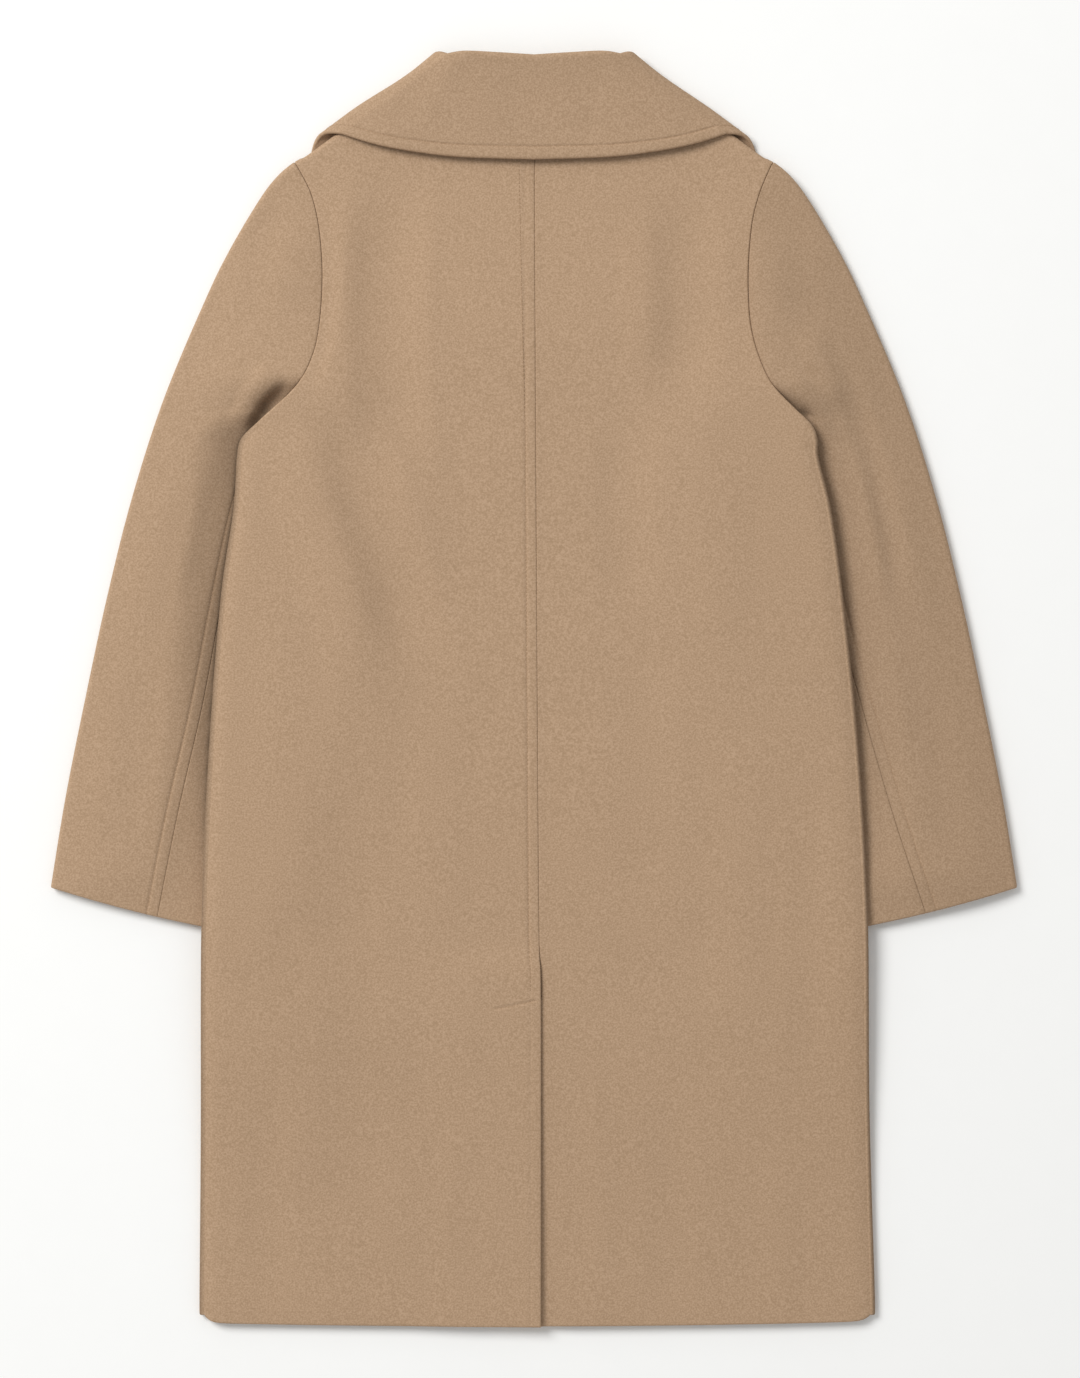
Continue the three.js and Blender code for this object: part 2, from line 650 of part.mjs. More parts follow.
// The origin is under the middle of the coat's outline.
const box = new THREE.Box3().setFromObject(overcoat);
const middle = box.getCenter(new THREE.Vector3());
for (const mesh of overcoat.children) mesh.geometry.translate(-middle.x, -middle.y, -box.min.z);

export default overcoat;
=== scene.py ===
"""A camel wool overcoat laid flat, front down and back up.

Each piece that a tailor would cut is a thin wall of melton over the form of its solid, worked out
in millimetres with x measured outwards from the centre back and mirrored for the other side.
"""

import bpy
import numpy as np
from bpy.props import FloatProperty, FloatVectorProperty, PointerProperty
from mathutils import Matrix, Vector


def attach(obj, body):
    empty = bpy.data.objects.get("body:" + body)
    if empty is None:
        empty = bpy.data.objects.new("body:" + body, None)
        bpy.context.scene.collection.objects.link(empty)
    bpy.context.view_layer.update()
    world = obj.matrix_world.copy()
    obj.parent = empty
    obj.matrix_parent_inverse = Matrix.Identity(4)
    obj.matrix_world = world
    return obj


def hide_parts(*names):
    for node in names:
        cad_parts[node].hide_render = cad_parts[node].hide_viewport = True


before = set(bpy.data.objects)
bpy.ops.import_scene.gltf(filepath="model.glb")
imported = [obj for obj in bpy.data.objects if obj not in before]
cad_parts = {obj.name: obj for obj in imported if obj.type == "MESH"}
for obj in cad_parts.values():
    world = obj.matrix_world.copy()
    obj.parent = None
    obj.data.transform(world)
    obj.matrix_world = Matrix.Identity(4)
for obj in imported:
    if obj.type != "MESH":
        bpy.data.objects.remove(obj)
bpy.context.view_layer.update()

bl_info = {
    "name": "Wool Overcoat Laid Flat",
    "version": (1, 0, 0),
    "blender": (4, 5, 0),
    "location": "View3D > Sidebar > Overcoat",
    "description": "Builds the pieces, sewing and finish of a wool overcoat laid flat",
    "category": "Object",
}

# ---- cloth and layers ----

CLOTH = 2.5
COLLAR_CLOTH = 3.2
SEAM_GAP = 0.3
SEAM_SHOWS = 0.04  # the hairline between two sewn edges
TUBE = 8.8
FOLD_RADIUS = TUBE / 2
LAP_LIFT = CLOTH + 2 * SEAM_GAP
WING_LIFT = COLLAR_CLOTH + SEAM_GAP
BRIDGE = 9.0  # height of the back where its thick cloth spans from one sleeve to the other
BRIDGE_BELOW_NECK = (440, 190)  # heights over which the bridge rises below the neck
BRIDGE_ABOVE_HEM = (-520, -70)  # heights over which it comes down to the hem
BRIDGE_FROM_SIDE = 110  # low down it also comes down towards the body's side
SIDE_COMES_DOWN = (-60, -220)  # heights over which it starts to do so
LOFT = 5.0  # how much further the soft body stands off the sleeves than its solids do
SLEEVE_LIFT = TUBE + SEAM_GAP + LOFT
SETTLED = {"left": 0.0, "right": 4.8}  # how far the body sinks back over each sleeve, low down
SETTLES = (110, -130)  # heights over which it does
PLATEAU = 13  # a lift reaches this far past what makes it, and then falls over a ramp
WING_RAMP = 100
LAP_RAMP = 40
VENT_RAMPS = (70, 40)  # across the vent and above it
BACK_RAMPS = (92, 140)  # beside a sleeve, and what is added below its cuff
BACK_RAMP_WIDENS = (-190, -300)
FRONT_RAMP = 42
FRONT_MEETS_BACK = (60, 40)  # in from the side, and up from the underarm
FULL_TURN = np.arccos(SEAM_GAP / 2 / FOLD_RADIUS)
CENTRE_Y = 0.662  # from the cutting table's zero to the middle of the coat

# ---- body ----

BACK_NECK_Y = 495
FRONT_NECK_Y = 415
HEM_Y = -530.8
HEM_CORNER_Y = -521.5
UNDERARM_Y = 229
FRONT_LAP = 25
VENT_TOP_Y = -259
VENT_UNDERLAP = 40
UNDERLAP_STARTS = -258
UNDERLAP_STEP = 10
SIDE_FOLD_STARTS = 30  # the side's fold turns fully this far below the underarm
TOP_PULLED_IN = 60  # the top edge's shift inwards dies away over this distance
TOP_BULGE_ENDS = 1.9  # the neck's and shoulder's bulge is gone at one part in this of the panel
HEM_BOWS = {"left": 0.3, "right": 0.45}  # part of the hem's rise that is spread across it
SIDE_ROLL = (1.8, 16)  # how far the back rolls down at its side, and over what distance

# ---- shoulder axis ----

AXIS_START = np.array([73.5, 523.4])
AXIS_SLOPE = np.arctan2(75.8, 101.9)
AXIS_ALONG = np.array([np.cos(AXIS_SLOPE), -np.sin(AXIS_SLOPE)])
AXIS_OUT = np.array([np.sin(AXIS_SLOPE), np.cos(AXIS_SLOPE)])
NECK_POINT = 24
SHOULDER_STRAIGHT = 135

# ---- collar ----

ROLL_RADIUS = 2.6
COLLAR_FRONT_GAP = 6
COLLAR_EDGE_BACK = 107
COLLAR_EDGE_FRONT = 141
ROLL_SLIP = 12
STAND_RISE = 0.85
ROLL_SETTLES = 0.45
STANDS_OFF = {"left": 4.4, "right": 2.6}  # the fall's edge stands this far off each shoulder
STAND_LIFTS = 3.7  # how far the stand and roll rise behind the neck
EDGE_LIFTS = 0.8  # and how far the fall's edge stands off the back
EDGE_FULLNESS = 0.35
# How much shade is painted over the whole collar.
COLLAR_PAINTED_SHADE = 1.2

# ---- outlines: (outwards, up the coat) or (up the coat, left, right) ----

SLEEVE_OUTER = [
    (199.5, 437.3), (213.5, 425.5), (228.3, 406.3), (253.2, 364.8), (273.5, 323.3), (308.3, 240.3),
    (334.9, 157.3), (355.7, 74.3), (373.5, -8.7), (390.1, -91.7), (402.2, -166),
]
SLEEVE_INNER = [(172, 211), (156, 185), (153, 145), (173, 50), (202, -60), (246, -204)]
SLEEVE_SEAM = [
    (UNDERARM_Y, 219.4, 219), (150, 243, 233), (68.5, 260.2, 249.5), (-17, 276.4, 273),
    (-104.7, 296.4, 298.5),
]
CUFF_SEAM = {"left": 0.57, "right": 0.49}
CUFF_BOW = 2.6
SEAM_LENGTH = 420
HEAD_OPENS = {"left": (0.8, 0.96), "right": (0.84, 1)}  # parts of the armhole
CROWNS = {"left": (4.0, 1.0, 3.5), "right": (6.5, 0.7, 2.0)}  # height, lean, and hollow's depth
CROWN_STARTS = (400, 330)  # heights over which the crown comes in, down from the shoulder
CROWN_ENDS = (-196, -150)  # and those over which it is gone at the cuff
HOLLOW_ACROSS = ((-48, -8), (-4, 42))  # out from the body's side: where it comes in, and goes
HOLLOW_STARTS = (-200, -120)  # heights over which it comes in above the cuff
HOLLOW_ENDS = {"left": (205, 262), "right": (180, 232)}  # heights over which it ends
# Painted shade on a sleeve beside the body: reach added, how it falls off, its most, and what the
# whole sleeve has.
SLEEVE_PAINTED_SHADE = {"left": (0, 1.5, 1.15, 0.1), "right": (26, 1.0, 0.22, 0.28)}
SHADE_REACH = (14, 38)  # its reach from the body's side, low down and high up
SHADE_WIDENS = (-140, 60)
SHADE_STARTS = (-190, -40)
SHADE_ENDS = (222, 240)
UNDERARM_PAINTED_SHADE = ((224, 230), (5, 6), 1.5)  # the deepest shade: its place, size and strength
UNDERARM_ON_EDGE = 0.4
SLEEVE_STARTS = 0.11  # part of the armhole where the sleeve's first row meets it
ARMHOLE = [
    (437.3, 199.5, 199.5), (414, 187, 189), (390, 180, 182), (362, 176.6, 178.8), (334, 176, 178),
    (303, 178.2, 179.8), (277, 183.4, 186), (252, 196, 197.5), (UNDERARM_Y, 219.4, 219),
]
BODY_SIDE = [
    (UNDERARM_Y, 219.4, 219), (218, 232.5, 231), (206, 243.5, 235.6), (190, 246.6, 236.5),
    (147, 249.5, 246.8), (74, 260, 256.8), (-47, 269.4, 269.4), (-183, 275.6, 277.2),
    (-341, 277.1, 279.1), (-505, 278.7, 284), (HEM_CORNER_Y, 278, 283),
]
BACK_SEAM = [(0.4, BACK_NECK_Y + 20), (1, 300), (4, -175), (5.8, VENT_TOP_Y), (5.8, HEM_Y - 20)]
BACK_NECK = [(0, BACK_NECK_Y), (38, 495.4), (66, 496.4), (82, 498.8), (89.2, 504.3)]
FRONT_NECK = [
    (-FRONT_LAP, FRONT_NECK_Y), (0, FRONT_NECK_Y), (34, 420), (62, 440), (80, 470), (89.2, 504.3),
]
BACK_ROLL = [(0, 521), (30, 523), (58, 524.6)]
FRONT_ROLL = [(COLLAR_FRONT_GAP / 2, 438), (26, 441), (48, 457), (64, 482), (75, 505)]
BACK_EDGE = [(0, 438), (62, 440.1), (103, 445), (133, 451)]
FRONT_EDGE = [(COLLAR_FRONT_GAP / 2, 316), (74, 325), (124, 352), (160, 390), (179, 420)]

# Rows at which the solids are cut, which set how each lift and edge is shared out.
ARMHOLE_STEPS = [0, 0.11, 0.22, 0.34, 0.46, 0.58, 0.69, 0.79, 0.88, 0.95, 1]
SIDE_ROWS = [214, 197, 170, 130, 80, 20, -60, -130, -180, -210, -235, -258, -268, -310, -400]
NECK_STEPS = {
    "back": [0, 0.3, 0.56, 0.78, 0.9, 1],
    "front": [0, 0.25, 0.4, 0.54, 0.68, 0.8, 0.92, 1],
}
SHOULDER_STEPS = 6

# ---- creases and swells, drawn on the coat as seen from above: x, y along the line, then half
# its width and its height, which is below zero for a trough ----

BACK_FOLDS = [
    ([(-114, 446), (-121, 330), (-118, 236), (-112, 146)], 38, -4.2),
    ([(-160, 430), (-165, 320), (-160, 190)], 28, 1.7),
    ([(-172, 262), (-132, 142), (-90, 6)], 38, -4.9),
    ([(-206, 224), (-172, 120), (-132, -8)], 38, 3.0),
    ([(-60, 400), (-70, 330), (-66, 250)], 28, -0.4),
    ([(-222, 130), (-208, 20), (-216, -120)], 34, 0.5),
    ([(-150, -20), (-158, -150), (-146, -300), (-160, -430)], 38, -1.0),
    ([(-70, 40), (-82, -120), (-74, -260)], 34, 0.8),
    ([(-100, -330), (-112, -440), (-108, -540)], 30, 0.9),
    ([(-214, -300), (-222, -420), (-214, -540)], 26, -0.9),
    ([(-44, -360), (-52, -450), (-46, -540)], 22, -0.7),
    ([(124, 430), (128, 330), (122, 220)], 36, -3.0),
    ([(88, 400), (92, 320), (88, 236)], 26, 1.0),
    ([(80, 236), (76, 150), (86, 60)], 32, -1.9),
    ([(170, 220), (152, 120), (166, 30)], 34, 0.7),
    ([(84, 60), (92, -90), (82, -230)], 34, -0.8),
    ([(166, -30), (172, -170), (160, -310)], 34, 0.9),
    ([(224, -60), (230, -220), (222, -360)], 24, -0.8),
    ([(108, -320), (116, -430), (110, -540)], 28, -0.8),
    ([(200, -380), (206, -460), (202, -540)], 24, 0.8),
    ([(46, -300), (56, -420), (50, -540)], 20, 0.6),
]
SLEEVE_FOLDS = [
    ([(-200, 254), (-211, 245), (-221, 234), (-229, 222), (-237, 208)], 9.5, -4.2),
    ([(-210, 267), (-226, 252), (-238, 234), (-247, 210)], 14, 2.8),
    ([(-262, 190), (-272, 130), (-288, 60)], 15, -1.2),
    ([(-300, 190), (-318, 110), (-334, 30)], 24, 0.8),
    ([(-318, 40), (-330, -60), (-344, -150)], 24, -0.8),
    ([(-214, 410), (-226, 350), (-232, 300)], 20, -0.7),
    ([(206, 262), (222, 248), (236, 230), (244, 206)], 11, 1.5),
    ([(224, 300), (240, 262), (256, 232)], 18, 1.6),
    ([(252, 276), (277, 200), (297, 120), (303, 62)], 15, -2.0),
    ([(262, 206), (279, 130), (290, 64)], 13, 1.3),
    ([(296, 200), (312, 120), (330, 30)], 24, 0.9),
    ([(322, 30), (338, -70), (350, -160)], 24, -0.8),
    ([(212, 400), (222, 340), (226, 290)], 22, -0.8),
]
COLLAR_FOLDS = [
    ([(-74, 520), (-96, 492), (-112, 458)], 18, -0.7),
    ([(-30, 524), (-38, 490), (-40, 446)], 26, 0.5),
    ([(40, 524), (48, 488), (52, 446)], 26, -0.5),
    ([(84, 516), (108, 488), (128, 462)], 18, 0.6),
]
FOLD_LINES = 16  # straight lines that a crease is measured to
VENT_STITCH = [(-32.1, -266.1), (1.2, -259.0)]
VENT_STITCH_POINTS = 12
VENT_ROWS = (-252, -274)  # the heights between which the back's rows are closer together
VENT_ROW_PITCH = 0.8
TOPSTITCH_FADES = -232  # the back topstitch sinks out of sight between here and the vent
VENT_EDGE_LIFTS = (1.2, 34)  # at the hem, and from this far in
UNDERLAP_SINKS = (0.8, 30)
# The half width and depth of the groove that each topstitch pulls into the cloth.
GROOVES = {"back": (1.6, 0.66), "vent": (1.7, 0.85), "sleeve": (1.6, 0.75), "collar": (1.5, 0.8)}

# ---- stage, in metres ----

TABLE_HALF = 6
TABLE_Z = -0.0004
LIGHT_PLACE = (-3.4, 2.8, 4.4)
LIGHT_WIDTH = 3.2
ROOM_LIGHT = 0.52
CAMERA_PLACE = (0.005, 0.0, 3.19)
LENS_MM = 100


# ---- curves and lifts ----


def mix(a, b, t):
    return a + (b - a) * t


def smoothstep(x, low, high):
    """t^2 (3 - 2t), where t goes from 0 at low to 1 at high."""
    t = np.clip((x - low) / (high - low), 0, 1)
    return t * t * (3 - 2 * t)


def going_down(y, high, low):
    """Smoothly from 0 above one height to 1 below a lower one."""
    return smoothstep(-y, -high, -low)


def hump(x, width):
    """(1 - x / width)^2 for x from 0 to the width, and 0 beyond it."""
    return np.clip(1 - x / width, 0, 1) ** 2


def curve(points):
    """A Catmull-Rom curve through the points, as its distance along and its points."""
    p = np.asarray(points, float)
    last = len(p) - 1
    t = np.linspace(0, last, last * 80 + 1)
    i = np.minimum(t.astype(int), last - 1)
    f = (t - i)[:, None]
    p0, p1, p2, p3 = p[np.maximum(i - 1, 0)], p[i], p[i + 1], p[np.minimum(i + 2, last)]
    v0, v1 = (p2 - p0) / 2, (p3 - p1) / 2
    q = ((2 * p1 - 2 * p2 + v0 + v1) * f + 3 * (p2 - p1) - 2 * v0 - v1) * f * f + v0 * f + p1
    return np.append(0, np.cumsum(np.linalg.norm(np.diff(q, axis=0), axis=1))), q


def at(line, part):
    """The point at a part of a curve's length."""
    distance, q = line
    where = np.clip(part, 0, 1) * distance[-1]
    return np.stack([np.interp(where, distance, q[:, k]) for k in (0, 1)], -1)


def left_of(line, part):
    """The unit vector to the left of a curve's direction at a part of its length."""
    part = np.clip(part, 2e-3, 1 - 2e-3)
    d = at(line, part + 2e-3) - at(line, part - 2e-3)
    return np.stack([-d[..., 1], d[..., 0]], -1) / np.linalg.norm(d, axis=-1)[..., None]


def at_height(line, y):
    """The part of a falling curve's length at which it first reaches a height."""
    lowest = np.maximum.accumulate(-line[1][:, 1])
    return np.interp(-np.asarray(y, float), lowest, line[0] / line[0][-1])


def on_axis(along, out=0.0):
    """A point along the shoulder axis and out from it."""
    return AXIS_START + np.multiply.outer(along, AXIS_ALONG) + np.multiply.outer(out, AXIS_OUT)


def side_of(table, side):
    """One side's outline from a table of (height, left, right)."""
    return [(row[1 if side == "left" else 2], row[0]) for row in table]


def distance_outside(p, outline):
    """The least distance from each point to a closed outline, and 0 inside it."""
    a = np.asarray(outline, float)
    b = np.roll(a, -1, axis=0)
    edge = b - a
    away = p[..., None, :] - a
    along = np.clip((away * edge).sum(-1) / (edge**2).sum(-1), 0, 1)
    nearest = np.linalg.norm(away - along[..., None] * edge, axis=-1).min(-1)
    x, y = p[..., None, 0], p[..., None, 1]
    rise = np.where(edge[:, 1] == 0, 1, edge[:, 1])
    crosses = ((a[:, 1] > y) != (b[:, 1] > y)) & (x < a[:, 0] + edge[:, 0] * (y - a[:, 1]) / rise)
    return np.where(crosses.sum(-1) % 2 == 1, 0, nearest)


def slope(distance, ramp):
    """1 as far as the plateau, then falling smoothly to 0 over the ramp."""
    return 1 - smoothstep(distance, PLATEAU, PLATEAU + ramp)


WING_HALF = np.array([*FRONT_EDGE, on_axis(COLLAR_EDGE_FRONT), (120, 600)], float)
WING_OUTLINE = np.vstack([WING_HALF, (WING_HALF * (-1, 1))[::-1]])


def wing_lift(p):
    """How far the front half of the collar, under the coat, lifts what lies over it."""
    return WING_LIFT * slope(distance_outside(p, WING_OUTLINE), WING_RAMP)


def off_sleeve(p, side):
    """Distance from the part of the sleeve that lies under the body."""
    cuff = SLEEVE_OUTER[-1]
    underarm = (side_of(BODY_SIDE, side)[0][0], UNDERARM_Y)
    return distance_outside(p, [underarm, *SLEEVE_INNER, cuff, (cuff[0], UNDERARM_Y)])


def inside_flank(x, y, side):
    """Distance across from each point to the body's side."""
    flank = FLANKS[side][1]
    return np.interp(-y, np.maximum.accumulate(-flank[:, 1]), flank[:, 0]) - x


def over_sleeve(p, side):
    """How far the sleeve lifts what lies over it. The wearer's right side settles low down."""
    return SLEEVE_LIFT - SETTLED[side] * going_down(p[..., 1], *SETTLES)


def raised(p, side):
    """How far the sleeve under it lifts the back. The cloth is thick, so it spans from one sleeve
    to the other and comes down slowly towards the neck, the hem and the sides below the cuffs."""
    x, y = p[..., 0], p[..., 1]
    held = smoothstep(inside_flank(x, y, side), 0, BRIDGE_FROM_SIDE)
    held = np.where(y > UNDERARM_Y, 1, mix(1, held, going_down(y, *SIDE_COMES_DOWN)))
    bridge = BRIDGE * going_down(y, *BRIDGE_BELOW_NECK) * smoothstep(y, *BRIDGE_ABOVE_HEM) * held
    ramp = BACK_RAMPS[0] + BACK_RAMPS[1] * going_down(y, *BACK_RAMP_WIDENS)
    return mix(bridge, over_sleeve(p, side), slope(off_sleeve(p, side), ramp))


BACK_LINE = curve(BACK_SEAM)


def back_seam_x(y):
    return np.interp(-y, -BACK_LINE[1][:, 1], BACK_LINE[1][:, 0])


def vent_lift(p):
    """How far the vent's underlap lifts the lap over it."""
    across = slope(p[..., 0] + back_seam_x(p[..., 1]) - VENT_UNDERLAP, VENT_RAMPS[0])
    return LAP_LIFT * across * slope(p[..., 1] - VENT_TOP_Y, VENT_RAMPS[1])


def lift_of(p, side, layer):
    """How far what lies under a panel raises it. p is measured outwards on its side."""
    lift = wing_lift(p)
    x, y = p[..., 0], p[..., 1]
    if layer == "back":
        lift = lift + raised(p, side)
        lap = vent_lift(p)
    else:
        # The front stays down on the table, and meets the back at the side.
        low = over_sleeve(p, side) * slope(off_sleeve(p, side), FRONT_RAMP)
        inwards, upwards = FRONT_MEETS_BACK
        meets = 1 - smoothstep(inside_flank(x, y, side), 0, inwards)
        meets = meets * (1 - smoothstep(y, UNDERARM_Y, UNDERARM_Y + upwards))
        lift = lift + mix(low, raised(p, side), meets)
        lap = LAP_LIFT * slope(x - FRONT_LAP, LAP_RAMP)
    return lift + lap if side == "left" else lift


def folds(x, y, table):
    """Sum of soft troughs and swells. Each is (1 - (d / w)^2)^2 of its height across its line,
    where d is the distance to the line, and it fades towards both ends of the line."""
    p = np.stack([x, y], -1)
    total = np.zeros(x.shape)
    for points, width, height in table:
        q = at(curve(points), np.linspace(0, 1, FOLD_LINES + 1))
        d = np.diff(q, axis=0)
        off = p[..., None, :] - q[:-1]
        t = np.clip((off * d).sum(-1) / (d**2).sum(-1), 0, 1)
        away = np.linalg.norm(off - t[..., None] * d, axis=-1)
        nearest = away.argmin(-1)[..., None]
        part = (nearest + np.take_along_axis(t, nearest, -1))[..., 0] / FOLD_LINES
        ends = smoothstep(np.minimum(part, 1 - part), -0.02, 0.3)
        total += height * np.clip(1 - (away.min(-1) / width) ** 2, 0, 1) ** 2 * ends
    return total


# ---- edges that pieces share ----

NECK_EDGE = on_axis(NECK_POINT, FOLD_RADIUS)
OUTER_EDGE = curve([NECK_EDGE, on_axis(SHOULDER_STRAIGHT, FOLD_RADIUS), *SLEEVE_OUTER])
SHOULDER_END = float(at_height(OUTER_EDGE, SLEEVE_OUTER[0][1]))
NECKS = {
    "back": curve([*BACK_NECK, on_axis(NECK_POINT), NECK_EDGE]),
    "front": curve([*FRONT_NECK, on_axis(NECK_POINT), NECK_EDGE]),
}
ARMHOLES = {side: curve(side_of(ARMHOLE, side)) for side in ("left", "right")}
FLANKS = {side: curve(side_of(BODY_SIDE, side)) for side in ("left", "right")}


def fold_at(turn, k):
    """A fold of a given turn at the part k of it: how far it has gone out, and round."""
    angle = np.maximum(turn, 1e-3)
    out = FOLD_RADIUS * np.sin(angle * k) / np.sin(angle)
    return out, FOLD_RADIUS * (1 - np.cos(angle * k)) / np.sin(angle)


def pull_in(distance):
    """How much of the top edge's shift inwards is left at a distance from it."""
    return hump(distance, TOP_PULLED_IN)


def down_to(side, y):
    """Distance from the shoulder down the armhole and the side to a height on the side."""
    flank = FLANKS[side]
    return ARMHOLES[side][0][-1] + float(at_height(flank, y)) * flank[0][-1]


def panel_length(side):
    """From the shoulder down the armhole and the side to the hem."""
    return down_to(side, HEM_CORNER_Y)


def panel_rows(side, layer, distance):
    """Rows of a panel by their distance from the shoulder, in order down the armhole and the side:
    the row's ends, the edge's normal and fold there, and its place between the cut rows."""
    armhole, flank = ARMHOLES[side], FLANKS[side]
    underarm = armhole[0][-1]
    down = np.maximum(distance, 0)
    part = np.clip(down / underarm, 0, 1)
    beyond = np.clip((down - underarm) / flank[0][-1], 0, 1)
    on_flank = (down > underarm)[:, None]
    normal = np.where(on_flank, left_of(flank, beyond), left_of(armhole, part))
    edge = at(armhole, part) - left_of(armhole, part) * SEAM_SHOWS / 2
    outer = np.where(on_flank, at(flank, beyond), edge)
    turn = FULL_TURN * smoothstep(down - underarm, 0, SIDE_FOLD_STARTS)

    neck_y = BACK_NECK_Y if layer == "back" else FRONT_NECK_Y
    cut_at = [k * underarm for k in ARMHOLE_STEPS]
    cut_y = [mix(neck_y, UNDERARM_Y - 10, k) for k in ARMHOLE_STEPS]
    for y in (*SIDE_ROWS, HEM_CORNER_Y):
        cut_at.append(down_to(side, y))
        cut_y.append(HEM_Y if y == HEM_CORNER_Y else y)
    centre_y = np.interp(down, cut_at, cut_y)
    w = np.interp(down, cut_at, np.linspace(0, 1, len(cut_at)))
    if layer == "front":
        centre_x = np.full(len(down), -float(FRONT_LAP))
    else:
        sign = -1 if side == "left" else 1
        centre_x = sign * back_seam_x(centre_y) + SEAM_SHOWS / 2
        if side == "right":
            below = np.clip((UNDERLAP_STARTS - centre_y) / UNDERLAP_STEP, 0, 1)
            centre_x = centre_x - VENT_UNDERLAP * below
    return outer, np.stack([centre_x, centre_y], -1), normal, turn, down, w


def panel_surface(side, layer, distance, u, top_fold):
    """The outer face of one body panel, as a function of the distance down it and of u outwards.
    A row runs straight from the centre to the edge for u from 0 to 1, and round the side's fold
    from 1 to 2. The top rows take the bulge of the neck and shoulder, which dies away downwards,
    and top_fold carries the first row round the shoulder's fold."""
    outer, inner, normal, turn, down, w = panel_rows(side, layer, distance)
    a = np.minimum(u, 1)
    w, down, turn, top_fold = (v[:, None] for v in (w, down, turn, top_fold))

    parts = NECK_STEPS[layer]
    steps = len(parts) - 1
    share = steps / (steps + SHOULDER_STEPS)
    neck_part = np.interp(a / share * steps, np.arange(steps + 1), parts)
    edge_part = np.clip((a - share) / (1 - share), 0, 1) * SHOULDER_END
    on_neck = (a < share)[..., None]
    top = np.where(on_neck, at(NECKS[layer], neck_part), at(OUTER_EDGE, edge_part))
    top_normal = np.where(on_neck, left_of(NECKS[layer], neck_part), left_of(OUTER_EDGE, edge_part))
    top_turn = FULL_TURN * np.clip((a - share) * (steps + SHOULDER_STEPS) + 1, 0, 1)
    start, end = at(NECKS[layer], 0), at(OUTER_EDGE, SHOULDER_END)

    spread = a[..., None]
    plan = mix(inner[:, None], outer[:, None], spread)
    bulge = np.clip(1 - w * TOP_BULGE_ENDS, 0, 1) ** 2
    plan = plan + (top - mix(start, end, spread)) * bulge[..., None]
    # The hem rises to its corner partly in a bow and partly in the corner's own small round.
    bow = HEM_BOWS[side]
    rise = bow * a**2 + (1 - bow) * a**60
    plan[..., 1] += (HEM_CORNER_Y - HEM_Y) * (rise - a) * w**8
    side_out, side_round = fold_at(turn, np.maximum(u - 1, 0))
    top_out, top_round = fold_at(top_turn, top_fold)
    plan = plan + normal[:, None] * (side_out - FOLD_RADIUS * a**6)[..., None]
    plan = plan + top_normal * (top_out - FOLD_RADIUS * pull_in(down))[..., None]
    rounded = side_round + top_round
    z = lift_of(plan, side, layer) + (TUBE - rounded if layer == "back" else rounded)
    return np.concatenate([plan, z[..., None]], -1)


# ---- grids and walls ----

# An edge's radius in millimetres, and how deep in the cloth its two faces meet.
SEWN = (1.3, 0.26)
TURNED = (1.9, 0.5)
BURIED = (1.5, 0.5)
SLEEVE_EDGES = (SEWN, TURNED, SEWN, BURIED)  # armhole, cuff, back seam and underside
COLLAR_EDGE = (2.3, 0.55)

TURNED_EDGE = [0, 0.12, 0.4, 0.85, 1.6, 2.6, 4]  # distances from an edge that is turned or sewn
NEAR_SIDE = [0, 0.5, 1.2, 2.4, 4, 6, 8.4, 11, 14]  # distances from a body panel's side
COLLAR_TURNED = [0, 0.15, 0.5, 1.1, 2, 3.3, 5, 6.4]
BY_COLLAR_STITCHES = (-2.4, -1.4, -0.7, 0, 0.7, 1.4, 2.6)
COLLAR_END = [0, 0.0006, 0.002, 0.0045, 0.009]  # parts of the collar's front from its end
BY_STITCHES = (-1.6, -0.8, 0, 0.8, 1.6)  # columns on both sides of a stitched line
PANEL_BETWEEN = 236  # typical width of a body panel between its two edges
TOP_SLEEVE_BETWEEN = 110
UNDER_SLEEVE_BETWEEN = 70
UNDERSIDE_PITCH = 9
TOP_FOLD_ROWS = 6
SIDE_FOLD_COLUMNS = 7
UNSTITCHED_ROWS = 14  # rows between the neck seam and the first stitch of the back


def spaced(length, near, far, pitch):
    """Places along a length: set distances from both ends, and evenly spaced between them."""
    low, high = near[-1], length - far[-1]
    middle = np.linspace(low, high, max(int(round((high - low) / pitch)), 2) + 1)[1:-1]
    return np.concatenate([near, middle, length - np.array(far[::-1], float)])


def by_stitching(before, stitch, after):
    """Distances from a sewn edge that are close together at the edge and at its topstitch."""
    return [*TURNED_EDGE, before, *(stitch + k for k in BY_STITCHES), after]


def spread_columns(width, near, far, count):
    """Parts of each row's width: set distances from both ends, and an even count between them."""
    low = np.array(near, float) / width[:, None]
    high = 1 - np.array(far[::-1], float) / width[:, None]
    k = np.linspace(0, 1, count + 2)[1:-1]
    return np.hstack([low, mix(low[:, -1:], high[:, :1], k), high])


def mirrored(p, side):
    """Points measured outwards on a side, as they lie on the table."""
    return p * np.array([-1 if side == "left" else 1, 1, 1])


def normals(p, upward):
    """Unit normals of a grid of points. upward says if the middle one looks up."""
    n = np.cross(np.gradient(p, axis=0), np.gradient(p, axis=1))
    n /= np.maximum(np.linalg.norm(n, axis=-1), 1e-12)[..., None]
    middle = n[n.shape[0] // 2, n.shape[1] // 3, 2]
    return n * (1 if (middle > 0) == upward else -1)


def edge_distances(p):
    """Distance along the grid from each point to its four edges: first row, last row, first
    column and last column."""
    down = np.zeros(p.shape[:2])
    down[1:] = np.cumsum(np.linalg.norm(np.diff(p, axis=0), axis=-1), axis=0)
    out = np.zeros(p.shape[:2])
    out[:, 1:] = np.cumsum(np.linalg.norm(np.diff(p, axis=1), axis=-1), axis=1)
    return down, down[-1] - down, out, out[:, -1:] - out


